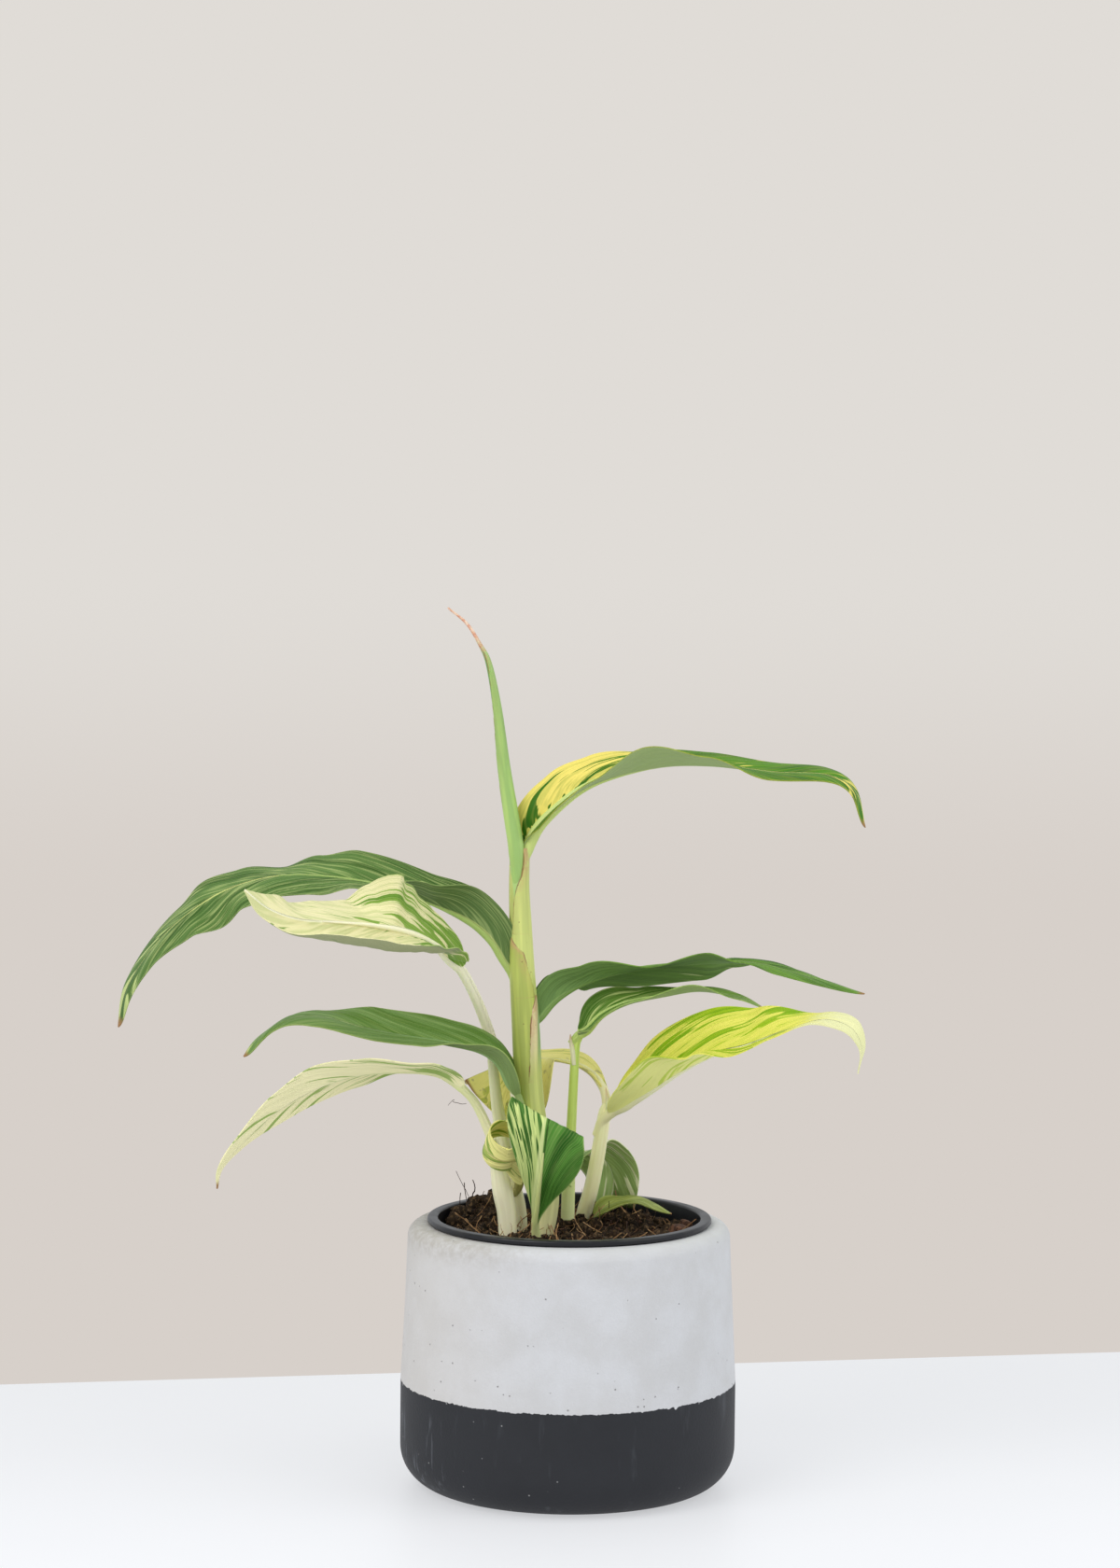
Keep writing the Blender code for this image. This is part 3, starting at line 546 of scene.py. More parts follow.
THIN_STEM = (
    (-0.9, 12, 84, 2.9), (-0.7, 12, 107, 2.9), (-0.4, 12, 125, 2.8), (-0.1, 11, 137, 2.4),
    (0.6, 11, 150, 2.1), (1.6, 10, 173, 1.9), (2.3, 10, 185, 1.8), (3.4, 9.8, 188, 1.6),
    (5, 9.2, 190.4, 1),
)
RIGHT_STEM = (
    (2.5, 20, 84, 3.3), (5.6, 20, 108, 3.3), (9.2, 19, 122, 3.2), (11.9, 18, 136, 3.1),
    (13.7, 17, 148, 2.9), (14.6, 16.5, 154.5, 2.7), (15.2, 16, 157.6, 2.2), (15.8, 15.4, 159.6, 1.3),
)
SPEAR = (
    (-22.3, 0.6, 240, 2.2), (-22.6, -0.2, 250, 2.6), (-22.8, -1.2, 258, 2.8), (-23.4, -2.5, 271, 3.1),
    (-25.6, -3, 285, 3), (-28.6, -3, 304, 2.6), (-31.6, -2, 328, 1.9), (-35.3, -1, 347, 1.3),
    (-39.3, 0, 355.5, 0.8), (-44.8, 0, 364, 0.6), (-52.7, 0, 370.5, 0.4),
)
# Where a sheath's free edge runs down the cane, as height and the angle from the camera's side
# round to the right. The sheath lies on the side that the last number tells: -1 left, 1 right.
MAIN_EDGES = (
    (((271, 20), (266, 24), (262, 22), (258, 12), (254, -12), (250, -26), (242, -36), (234, -44)), 1),
    (((234.7, -75), (230, -38), (226, 8), (221, 22), (216, 36), (211, 50), (207.5, 58)), -1),
    (((207, 62), (202, 34), (196, 22), (188, 16), (180, 10), (172, 2)), 1),
)
SPEAR_EDGES = (
    (((368, -20), (350, -20), (328, -60), (304, -78), (285, -80), (262, -80)), 1),
)
# Where the top sheath stands open and shows the spear's foot: height, left and right angle.
TOP_OPENING = ((271, -72, 20), (266, -64, 24), (262, -56, 20), (257, -46, 8), (252, -36, -14),
               (249, -30, -28))
TO_CAMERA = (0.02, -1.0, 0.03)
SHEATH_STEP = 0.45
SHEATH_FADE = 60.0
SHEATH_END = 6.0
SHEATH_SIDE = 110
MARGIN_LIMIT = 12.0
BLUSH_LENGTH = 26.0
LEAST_BLUSH = 0.12
OPENING_BLUR = 0.35
SEAM_MERGE = 0.0000005


def smooth_path(points, count):
    """Evenly spaced points on a Catmull-Rom curve through the given ones, with the same columns."""
    points = np.array(points, float)
    knots = np.vstack([2 * points[0] - points[1], points, 2 * points[-1] - points[-2]])
    t = np.linspace(0, 1, PATH_STEPS, endpoint=False)[:, None]
    fine = []
    for a, b, c, d in zip(knots, knots[1:], knots[2:], knots[3:]):
        fine.append(0.5 * (2 * b + (c - a) * t + (2 * a - 5 * b + 4 * c - d) * t ** 2
                           + (3 * b - a - 3 * c + d) * t ** 3))
    fine = np.vstack([*fine, points[-1:]])
    steps = np.linalg.norm(np.diff(fine[:, :3], axis=0), axis=1)
    lengths = np.concatenate([[0.0], np.cumsum(steps)])
    wanted = np.linspace(0, lengths[-1], count)
    return np.column_stack([np.interp(wanted, lengths, column) for column in fine.T])


def unit(vectors):
    return vectors / np.linalg.norm(vectors, axis=-1, keepdims=True)


def around(path):
    """For each point of a path, the direction to the camera's side and the one to its right."""
    ahead = unit(np.gradient(path[:, :3], axis=0))
    front = np.array(TO_CAMERA)
    front = unit(front - ahead * (ahead @ front)[:, None])
    return front, np.cross(ahead, front)


def set_numbers(mesh, **numbers):
    """Stores numbers for each of the mesh's points, which materials read by name."""
    for name, values in numbers.items():
        mesh.attributes.new(name, "FLOAT", "POINT").data.foreach_set("value", np.ravel(values))


def read(tree, *names):
    """The stored numbers of these names, for a shader."""
    return [add("Attribute", {}, tree, attribute_name=name).outputs["Fac"] for name in names]


def shader_group(name, look):
    """A shader group with an input for each value of a look, and the sockets of those inputs."""
    tree = bpy.data.node_groups.new(name, "ShaderNodeTree")
    for way, sockets in (("INPUT", look), ("OUTPUT", {"Color": (0, 0, 0), "Relief": 0})):
        for key, value in sockets.items():
            kind = "NodeSocketColor" if isinstance(value, tuple) else "NodeSocketFloat"
            tree.interface.new_socket(name=key, in_out=way, socket_type=kind)
    return tree, tree.nodes.new("NodeGroupInput").outputs


def finish_group(tree, surface, relief):
    """Sends out what the group has made."""
    out = fill(tree.nodes.new("NodeGroupOutput"), {"Color": surface, "Relief": relief})
    out.is_active_output = True
    return tree


def cane(name, stations, sides, rings, edges=(), along=False, opening=()):
    """A rolled stem: a flat grid bent round into a tube, raised where one sheath overlaps another."""
    path = smooth_path(stations, rings + 1)
    front, right = around(path)
    turn = np.linspace(-math.pi, math.pi, sides + 1)[None, :]
    z, thick = path[:, 2:3], path[:, 3:4]
    none = np.zeros((rings + 1, sides + 1))
    radius, tone, blush, bare, margin = thick + none, none, none, none, none + MARGIN_LIMIT
    for index, (line, side) in enumerate(edges):
        heights, angles = np.array(line[::-1], float).T
        past = np.degrees((turn - np.radians(np.interp(z, heights, angles))) * side)
        past = (past + 180) % 360 - 180
        from_ends = np.minimum(z - heights[0], heights[-1] - z)
        raised = np.where(past > 0, np.exp(-past / SHEATH_FADE), 0)
        radius = radius + SHEATH_STEP * raised * np.clip(from_ends / SHEATH_END, 0, 1)
        here = np.radians(past) * thick
        nearer = (np.abs(here) < np.abs(margin)) & (np.abs(past) < SHEATH_SIDE) & (from_ends > -0.5)
        margin = np.where(nearer, here, margin)
        blush = np.where(nearer, np.clip(1 - (heights[-1] - z) / BLUSH_LENGTH, LEAST_BLUSH, 1), blush)
        tone = np.where((z < heights[-1]) & (past > 0), index + 1.0, tone)
    if opening:
        heights, left, end = np.array(opening[::-1], float).T
        left, end = (np.radians(np.interp(z, heights, angles)) for angles in (left, end))
        inside = np.where(z > heights[0], np.minimum(turn - left, end - turn) * thick, -1)
        bare = np.clip(inside / OPENING_BLUR + 0.5, 0, 1)
        radius = radius - SHEATH_STEP * bare
    spots = path[:, None, :3] + radius[..., None] * (
        front[:, None] * np.cos(turn)[..., None] + right[:, None] * np.sin(turn)[..., None])
    bpy.ops.object.select_all(action="DESELECT")
    bpy.ops.mesh.primitive_grid_add(x_subdivisions=sides, y_subdivisions=rings, size=MM)
    piece = named(name)
    piece.data.vertices.foreach_set("co", (spots * MM).ravel())
    lengths = np.cumsum(np.linalg.norm(np.diff(path[:, :3], axis=0, prepend=path[:1, :3]), axis=1))
    set_numbers(piece.data, height=(lengths[:, None] if along else z) + none, tone=tone, margin=margin,
                blush=blush, bare=bare, round=np.abs(turn) * thick.mean() + none)
    bpy.ops.object.mode_set(mode="EDIT")
    bpy.ops.mesh.select_all(action="SELECT")
    bpy.ops.mesh.remove_doubles(threshold=SEAM_MERGE)
    bpy.ops.mesh.fill_holes(sides=0)
    bpy.ops.mesh.normals_make_consistent(inside=False)
    bpy.ops.object.mode_set(mode="OBJECT")
    return piece


def skin_group():
    """Stem skin: fine ribs along the stem over a colour that changes with height and sheath."""
    tree, given = shader_group("stem_skin", STEM_LOOK)
    height, girth = read(tree, "height", "round")
    tone, margin, blush, bare = read(tree, "tone", "margin", "blush", "bare")
    place = add("TexCoord", {}, tree).outputs["Object"]
    ribs = grain(at(times(girth, 2), times(height, 0.03)), 1, 3, 0.55)
    bands = grain(at(times(girth, 0.45), times(height, 0.02)), 1)
    third = blend(ramp(margin, 3, 4.4), given["sheath_3"], given["stalk"])
    third = blend(ramp(height, 173, 190), given["top"], third)
    surface = blend(ramp(tone, 0.3, 0.7), given["top"], given["sheath"])
    surface = blend(ramp(tone, 1.3, 1.7), surface, given["sheath_2"])
    surface = blend(ramp(tone, 2.3, 2.7), surface, third)
    surface = blend(ramp(height, given["low"], given["high"]), given["foot"], surface)
    surface = blend(times(ramp(bands, 0.42, 0.66), 0.5), surface, (0.95, 0.95, 0.75, 1), "SOFT_LIGHT")
    surface = blend(times(ramp(ribs, 0.5, 0.75), 0.12), surface, (0.45, 0.5, 0.26, 1), "MULTIPLY")
    surface = blend(bare, surface, given["inner"])
    mottle = grain(place, 420, 4, 0.65)
    inside = times(ramp(margin, -0.1, 0.25), ramp(times(mottle, 2.5, margin), 6.5, 1.6))
    pink = times(inside, times(blush, ramp(mottle, 0.3, 0.6)))
    surface = blend(times(pink, 0.85), surface, (196, 146, 112))
    frayed = times(mottle, 0.5, calc("SUBTRACT", margin, 0.25))
    rim = times(fade(calc("ABSOLUTE", frayed), 0.12, 0.34), ramp(grain(place, 150, 3), 0.38, 0.55))
    surface = blend(times(rim, 0.8), surface, (134, 82, 58))
    far, chances = dots(place, 700)
    freckle = times(fade(far, 0.1, 0.3), calc("LESS_THAN", chances[1], given["freckles"]))
    surface = blend(times(freckle, 0.7), surface, (112, 78, 48))
    withered = ramp(times(mottle, 8, height), given["dry"], calc("ADD", given["dry"], 12))
    tip = blend(ramp(mottle, 0.35, 0.6), given["tip"], (204, 148, 122))
    return finish_group(tree, blend(withered, surface, tip), times(bands, 0.8, ribs))


def stem_skin(name, depth=0.00008, **look):
    """A stem's material. The look tells where it differs from the main cane's."""
    material, _ = new_material(name)
    skin = add("Group", {**STEM_LOOK, **look}, material.node_tree, node_tree=SKIN).outputs
    coat(material, {"Subsurface Weight": 0.15, "Subsurface Radius": (0.002, 0.003, 0.001),
                    "Subsurface Scale": 1})
    return dressed(material, skin["Color"], 0.42, 0.35, skin["Relief"], depth)


# The main cane's skin: its colours from foot to top, on the older sheaths and inside them, the
# heights that they change between, and how much of it is freckled.
STEM_LOOK = dict(
    foot=(214, 208, 158), top=(180, 188, 108), sheath=(190, 198, 116), sheath_2=(166, 176, 88),
    sheath_3=(206, 194, 148), stalk=(132, 166, 102), inner=(172, 202, 124), tip=(224, 196, 172),
    low=106, high=138, dry=9999, freckles=0.03,
)
SKIN = skin_group()
GREEN_SKIN = stem_skin("lime_stem")
PALE = dict(sheath=(222, 218, 180), low=105, high=160, freckles=0.02)
PALE_SKIN = stem_skin("cream_stem", foot=(236, 230, 196), top=(226, 224, 180), **PALE)
# Painted light: the right cane wears the cream skin made brighter, to make up for the shade that the leaves
# cast on it.
BRIGHTENED_CREAM_SKIN = stem_skin("brightened_cream_stem", foot=(248, 240, 190), top=(242, 238, 182), **PALE)
THIN_SKIN = stem_skin("thin_green_stem", foot=(226, 232, 172), top=(192, 214, 108),
                      sheath=(170, 188, 90), low=104, high=150, freckles=0)
SPEAR_SKIN = stem_skin("spear_green", 0.00004, foot=(156, 190, 110), top=(106, 144, 78),
                       sheath=(138, 170, 96), low=270, high=325, dry=352, freckles=0)
for name, stations, skin, slot, sides, rings, edges, node in (
    ("main_cane", MAIN_STEM, GREEN_SKIN, "green_stem", 128, 260, MAIN_EDGES, "main_stem"),
    ("front_left_cane", FRONT_LEFT_STEM, PALE_SKIN, "pale_stem", 48, 80, (), "front_left_stem"),
    ("back_left_cane", BACK_LEFT_STEM, PALE_SKIN, "pale_stem", 48, 110, (), "back_left_stem"),
    ("thin_cane", THIN_STEM, THIN_SKIN, "green_stem", 40, 110, (), "thin_stem"),
    ("right_cane", RIGHT_STEM, BRIGHTENED_CREAM_SKIN, "pale_stem", 48, 90, (), "right_stem"),
    ("rolled_spear", SPEAR, SPEAR_SKIN, "green_stem", 64, 160, SPEAR_EDGES, "spear_leaf"),
):
    opening = TOP_OPENING if node == "main_stem" else ()
    piece = cane(name, stations, sides, rings, edges, opening=opening)
    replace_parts(finish_mesh(piece, [skin], 50), node)

# The dry tips of old sheaths, which stand off the canes as small papery points. Each has a name, the
# height that it is withered from, and its middle line with the radius at each point.
TIP_SIDES = 16
TIP_RINGS = 24
DRY_TIPS = (
    ("thin_cane_tip", 186, ((1.6, 8.7, 177, 1), (1, 8.7, 183, 1.1), (0.2, 8.8, 187, 0.8),
                            (-0.1, 8.8, 190, 0.2))),
    ("right_cane_tip", 163, ((16.2, 14.6, 153, 1.2), (16.4, 14.4, 158, 1.3), (15.9, 14.6, 162, 0.9),
                             (15.2, 15, 166.5, 0.15))),
    ("left_leaf_tip", 170, ((-23.2, -11.5, 164, 1.6), (-24.2, -12.2, 173, 1.5), (-24.6, -12.4, 178, 1),
                            (-25.2, -12.4, 181, 0.15))),
)
for name, withered, stations in DRY_TIPS:
    skin = stem_skin(name + "_skin", foot=(216, 220, 176), top=(224, 220, 184), sheath=(224, 220, 184),
                     tip=(150, 98, 68), low=150, high=175, dry=withered, freckles=0)
    finish_mesh(cane(name, stations, TIP_SIDES, TIP_RINGS), [skin], 60)

# The leaves. Thin blades on either side of a rib that stands out below, with fine veins that sweep
# forward from the rib to the edge. The plant is variegated: cream and yellow streaks follow the
# veins. The upper face is satin and the underside duller and greyer.
BLADE_THICKNESS = 0.45
CAD_THICKNESS = 0.7
RIB_EXTRA = 2.0
RIB_SPREAD = 2.2
RIB_FADE = 1.5
STALK_SPREAD = 4.0
STALK_HALF_WIDTH = 0.6
STALK_SINK = 2.0
STALK_REACH = 0.5
STALK_POINTS = 16
STALK_END_RADIUS = 0.35
STALK_SIDES = 24
STALK_RINGS = 90
TIP_HALF_WIDTH = 0.45
LEAF_ROWS = 150
LEAF_COLUMNS = 24
PLEAT_SPACING = 12.0
PLEAT_HEIGHT = 0.12
FAR_HALF_SHIFT = 400
VEIN_SPACING = 3.8
VEIN_CROWDING = ((0.55, 0.95), (1.0, 0.2))


def blade_width(share, peak, rise):
    """The blade's half width, as a share of the widest, at each share of its length."""
    inside = (share > 0) & (share < 1)
    s = np.where(inside, share, 0.5)
    fall = rise * (1 - peak) / peak
    return np.where(inside, (s / peak) ** rise * ((1 - s) / (1 - peak)) ** fall, 0.0)


def eased(rows, share):
    """The columns of a table at each share of the leaf's length, eased between its rows."""
    rows = np.array(rows, float)
    first = np.clip(np.searchsorted(rows[:, 0], share, side="left") - 1, 0, len(rows) - 2)
    t = (share - rows[first, 0]) / (rows[first + 1, 0] - rows[first, 0])
    t = np.clip(t, 0, 1)
    t = (t * t * (3 - 2 * t))[:, None]
    return rows[first, 1:] * (1 - t) + rows[first + 1, 1:] * t


def leaf_surface(rib, blade, half, side, pose, pale, outline=(0.38, 0.55), near=(0, -1, 0), skew=0,
                 sweep=(3, 3.5), late=0):
    """The blade's upper face as rows of points, with the numbers that its pattern is laid out by."""
    path = smooth_path(rib, LEAF_ROWS + 1)
    share = np.linspace(0, 1, LEAF_ROWS + 1)
    down = share[:, None]
    ahead = unit(np.gradient(path, axis=0))
    near = np.array(near, float)
    near = unit(near - ahead * (ahead @ near)[:, None])
    face = np.cross(near, ahead) * side
    half_here = half * blade_width((share - blade) / (1 - blade), *outline)
    reach = np.hypot(half_here, STALK_HALF_WIDTH * (1 - share) + TIP_HALF_WIDTH)[:, None]
    extra = RIB_EXTRA * (1 - down) ** RIB_FADE
    column = -side * np.linspace(-1, 1, 2 * LEAF_COLUMNS + 1)[None, :]
    away = np.abs(column)
    angles = np.radians(eased(pose, share))
    on_near = column < 0
    root = np.where(on_near, angles[:, 0:1], angles[:, 2:3])
    edge = np.where(on_near, angles[:, 1:2], angles[:, 3:4])
    bend = (edge - root) * away / 2
    opened = np.clip(down / max(late, 0.001), 0.05, 1) ** 1.5
    chord = np.where(on_near, opened, 1.0) * reach * away * np.sinc(bend / math.pi)
    along, up = np.cos(root + bend) * chord, np.sin(root + bend) * chord
    up = up + CAD_THICKNESS + extra * np.exp(-(reach / STALK_SPREAD) ** 2)
    spots = path[:, None] + near[:, None] * along[..., None] + face[:, None] * up[..., None]
    spots[..., 2] -= skew * column * half_here[:, None]
    length = np.linalg.norm(np.diff(path, axis=0), axis=1).sum()
    from_rib, to_edge = reach * column, reach * (1 - away)
    slow = np.interp(down, *VEIN_CROWDING)
    lean = np.interp(down, (blade, blade + 0.3), sweep) * slow
    vein = length * np.cumsum(slow, axis=0) / LEAF_ROWS
    vein = vein - lean * reach * away * (0.75 + 0.5 * away) + FAR_HALF_SHIFT * (column > 0)
    normal = unit(np.cross(np.gradient(spots, axis=1), np.gradient(spots, axis=0)))
    calm = np.clip((np.abs(from_rib) - 1) / 3, 0, 1) * np.clip(to_edge / 2, 0, 1)
    spots += normal * (PLEAT_HEIGHT * calm * np.sin(vein * math.tau / PLEAT_SPACING))[..., None]
    thick = BLADE_THICKNESS + extra * np.exp(-(from_rib / RIB_SPREAD) ** 2)
    amounts = eased(pale, share)
    return spots, thick, face, dict(
        vein=vein, from_rib=from_rib, to_edge=to_edge, along=down + 0 * column,
        height=length * down + 0 * column, margin=MARGIN_LIMIT + 0 * from_rib,
        pale=np.where(on_near, amounts[:, 0:1], amounts[:, 1:2]))


def stalk_stations(line, face, blade, root, neck):
    """The round stalk under a leaf's rib, from inside the cane to where the rib thins out."""
    rows = len(line) - 1
    chosen = np.unique(np.linspace(0, (blade + STALK_REACH) * rows, STALK_POINTS).astype(int))
    share = chosen / rows
    radius = np.interp(share, (0, max(blade, 0.02), blade + STALK_REACH), (root, neck, STALK_END_RADIUS))
    centre = line[chosen] - face[chosen] * 0.5 * radius[:, None]
    start = centre[0] - unit(centre[1] - centre[0]) * STALK_SINK
    return np.vstack([(*start, root), np.column_stack([centre, radius])])


def grow_leaf(node, slot, look, stalk, blade, **shape):
    """One leaf: a grid moved to the blade's shape and thickened, most along the rib, with its stalk.

    blade is the share of the length where the stalk ends, rib the points that the rib runs through,
    half the most that one half is wide, and side 1 for a leaf that goes right. At shares of the length,
    pose tells how the near and the far half stand beside the rib and at the edge, 0 towards the camera
    and 90 the way that the face looks, and pale how much of each half is pale. stalk is its radius
    below and above, its colours there, and between which lengths they change.
    """
    name = "blade_" + node
    spots, thick, face, numbers = leaf_surface(blade=blade, **shape)
    bpy.ops.object.select_all(action="DESELECT")
    bpy.ops.mesh.primitive_grid_add(x_subdivisions=2 * LEAF_COLUMNS, y_subdivisions=LEAF_ROWS, size=MM)
    piece = named(name)
    mesh = piece.data
    mesh.vertices.foreach_set("co", (spots * MM).ravel())
    set_numbers(mesh, **numbers)
    thickest = thick.max()
    group = piece.vertex_groups.new(name="rib")
    for index, value in enumerate((thick - BLADE_THICKNESS).ravel() / (thickest - BLADE_THICKNESS)):
        group.add([index], float(value), "REPLACE")
    solidify = piece.modifiers.new("blade", "SOLIDIFY")
    solidify.thickness = thickest * MM
    solidify.offset = -1
    solidify.vertex_group = "rib"
    solidify.thickness_vertex_group = BLADE_THICKNESS / thickest
    solidify.material_offset = 1
    solidify.material_offset_rim = 0
    root, neck, foot, top, (low, high) = stalk
    skin = stem_skin(name + "_stalk", foot=foot, top=top, sheath=top, low=low, high=high, freckles=0)
    for material in (*leaf_faces(node, look), skin):
        mesh.materials.append(material)
    bpy.ops.object.modifier_apply(modifier="blade")
    piece.vertex_groups.clear()
    stations = stalk_stations(spots[:, LEAF_COLUMNS], face, blade, root, neck)
    tube = cane(name, stations, STALK_SIDES, STALK_RINGS, along=True)
    tube.data.materials.append(skin)
    along = mesh.attributes["along"].data
    for polygon in mesh.polygons:
        if along[polygon.vertices[0]].value < blade:
            polygon.material_index = 2
    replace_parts(finish_mesh(joined(name, tube, piece), [], 50), node)


def leaf_group():
    """Leaf colour: green, streaked pale along the veins, with the rib, the edge and the dry tip."""
    tree, given = shader_group("leaf_streaks", LEAF_LOOK)
    vein, from_rib, to_edge, along, amount = read(tree, "vein", "from_rib", "to_edge", "along", "pale")
    place = add("TexCoord", {}, tree).outputs["Object"]
    green, pale, seed = given["green"], given["pale"], given["seed"]
    across = times(from_rib, given["dash"])
    line = calc("DIVIDE", vein, given["spacing"])
    fine = at(times(line, 2.6), times(across, 1.6), seed)
    streaks = ramp(grain(at(line, across, seed), 1, 1), 0.3, 0.7, False)
    threads = ramp(grain(fine, 1, 1.5, 0.55), 0.3, 0.7, False)
    mixed = calc("ADD", times(streaks, 0.62), times(threads, 0.38))
    start = calc("SUBTRACT", 1, amount)
    streak = ramp(mixed, calc("SUBTRACT", start, 0.035), calc("ADD", start, 0.035))
    darker = times(ramp(grain(fine, 0.35), 0.3, 0.65), times(ramp(along, 0.12, 0.45), 0.75, 0.25))
    cloud = grain(place, 55)
    pale_tone = blend(ramp(threads, 0.35, 0.8), pale, blend(0.35, pale, green))
    pale_tone = blend(times(ramp(cloud, 0.5, 0.8), 0.5), pale_tone, pale)
    surface = blend(streak, blend(darker, given["dark"], green), pale_tone)
    veins = calc("SINE", times(vein, math.tau / VEIN_SPACING))
    threaded = times(ramp(threads, 0.45, 0.9), given["lines"])
    surface = blend(times(ramp(veins, 0.2, 1), 0.08, threaded), surface, pale)
    width = times(given["rib_width"], times(along, -0.8, 1))
    off = calc("DIVIDE", calc("ABSOLUTE", calc("SUBTRACT", from_rib, given["rib_shift"])), width)
    surface = blend(times(fade(off, 0.5, 1.1), given["rib_strength"]), surface, given["rib"])
    surface = blend(times(fade(to_edge, 0.15, 0.6), 0.25), surface, pale)
    dull = times(ramp(calc("SUBTRACT", along, given["dull_from"]), 0, 0.05), given["muted"])
    surface = blend(dull, surface, blend(streak, given["dull_green"], given["dull_pale"]))
    bleached = ramp(times(threads, 0.05, along), given["bleach"], calc("ADD", given["bleach"], 0.12))
    surface = blend(times(bleached, 0.85), surface, given["rib"])
    blotch = times(ramp(grain(place, 240), 0.62, 0.7), given["spots"])
    surface = blend(blotch, surface, (132, 126, 104))
    tip = times(ramp(times(cloud, 0.02, along), 0.985, 1.005), given["dry_tip"])
    surface = blend(tip, surface, (150, 112, 70))
    return finish_group(tree, surface, times(veins, 0.5, times(threads, 0.5)))


def leaf_faces(name, look):
    """The two materials of one leaf, for its upper face and its underside."""
    look = {**LEAF_LOOK, **look}
    made = []
    for face, muted, roughness in (("upper", 0, 0.5), ("under", look["muted"], 0.6)):
        material, _ = new_material(f"{name}_{face}")
        streaks = add("Group", {**look, "muted": muted}, material.node_tree, node_tree=STREAKS).outputs
        made.append(dressed(material, streaks["Color"], roughness, 0.15, streaks["Relief"],
                            0.00012 - 0.00008 * muted))
    return made


# A plain green leaf's look: its colours, how wide and strong the rib shows and how far off the middle,
# how far apart the streaks are and how often they break, how much of the underside's own dull colours
# shows, and marks of age. Each leaf's look tells where it differs.
LEAF_LOOK = dict(
    green=(118, 150, 82), dark=(84, 122, 44), pale=(206, 214, 130), rib=(186, 206, 136), rib_width=1.2,
    rib_strength=0.8, rib_shift=0, spacing=9, dash=0.11, seed=0, muted=0.6, dry_tip=1, lines=0.1,
    spots=0, bleach=2, dull_from=-1, dull_green=(146, 160, 112), dull_pale=(214, 214, 172),
)
STREAKS = leaf_group()

# The leaves of the main cane: an old pair low down and a younger pair above, all mostly green.
grow_leaf(
    "upper_right_leaf", "streaked_leaf", blade=0.02, half=16, side=1, outline=(0.4, 0.42), sweep=(0, 2.6),
    late=0.12,
    rib=((-21.8, 0, 262), (-18.4, 0, 272), (-11, -2, 283), (7.3, -4, 297), (34, -6, 304.5), (57, -8, 305.5),
        (84, -9, 302.5), (106, -9, 301.5), (117.6, -9, 295), (122, -9, 280)),
    pose=((0, 40, 60, 110, 95), (0.12, -10, 0, 96, 116), (0.2, -8, 8, 112, 132), (0.28, -5, 15, 130, 148),
        (0.42, 25, 45, 150, 170), (0.55, 15, 15, 150, 178), (0.7, -3, -20, 155, 176),
        (0.85, 0, -28, 150, 180), (1, -20, -40, 170, 190)),
    pale=((0, 0.3, 0.66), (0.25, 0.1, 0.66), (0.36, 0, 0.58), (0.45, 0, 0.05), (0.8, 0, 0.1),
        (0.92, 0.35, 0.65), (1, 0.6, 0.7)),
    look=dict(green=(74, 130, 20), dark=(46, 98, 6), pale=(234, 216, 108), rib=(206, 216, 128), spacing=7,
        dash=0.12, seed=3.1, muted=0.85, dull_green=(160, 178, 122)),
    stalk=(3.1, 2.9, (200, 214, 128), (184, 206, 116), (5, 60)),
)
grow_leaf(
    "upper_left_leaf", "green_leaf", blade=0.05, half=17, side=-1, outline=(0.42, 0.42),
    rib=((-23.5, 0, 209), (-27.8, -1, 222), (-37, -3, 235), (-55.7, -5, 246), (-83, -7, 254.5),
        (-118, -9, 258), (-145.4, -9, 251), (-169, -8, 233.6), (-185, -6, 211.6), (-189.6, -5, 193.4)),
    pose=((0, 60, 85, 120, 100), (0.16, 75, 95, 112, 122), (0.27, 20, 40, 133, 152),
        (0.4, -5, -5, 130, 145), (0.47, -16, -28, 148, 162), (0.54, -18, -33, 162, 184),
        (0.62, -22, -46, 156, 166), (0.69, -46, -76, 143, 160), (0.75, -24, -50, 155, 170),
        (0.85, -10, -40, 155, 175), (1, -20, -40, 160, 170)),
    pale=((0, 0, 0), (0.3, 0.02, 0.1), (0.6, 0.04, 0.16), (0.8, 0.12, 0.26), (1, 0.5, 0.5)),
    look=dict(green=(86, 120, 56), dark=(48, 84, 20), pale=(182, 196, 124), rib=(208, 216, 130),
        rib_width=1.1, spacing=8, seed=1.7, lines=0.45, muted=0.4, dull_green=(112, 132, 82)),
    stalk=(2.6, 2.2, (170, 190, 104), (150, 176, 96), (5, 50)),
)
grow_leaf(
    "middle_right_leaf", "green_leaf", blade=0.04, half=14, side=1, outline=(0.4, 0.42),
    rib=((-16.2, -2, 190), (-13.2, 0, 197.5), (-7.7, 2, 204.4), (1.3, 3, 210.7), (15, 5, 215.7),
        (35, 7, 219.2), (58.5, 9, 220.7), (78, 10, 220.4), (98, 10, 215.3), (124.4, 10, 207.6)),
    pose=((0, 60, 85, 120, 100), (0.13, 60, 80, 104, 120), (0.22, 30, 47, 158, 258), (0.4, 0, 10, 178, 285),
        (0.55, 20, 25, 174, 285), (0.64, -3, 12, 150, 250), (0.75, -5, -15, 160, 190),
        (1, -10, -20, 180, 190)),
    pale=((0, 0, 0), (0.5, 0, 0.1), (1, 0.1, 0.1)),
    look=dict(green=(92, 136, 34), dark=(38, 82, 0), pale=(150, 178, 90), rib=(148, 178, 96), spacing=9,
        seed=5.2, muted=0.5, dull_green=(128, 156, 96)),
    stalk=(2.2, 1.9, (120, 150, 78), (112, 146, 70), (5, 40)),
)
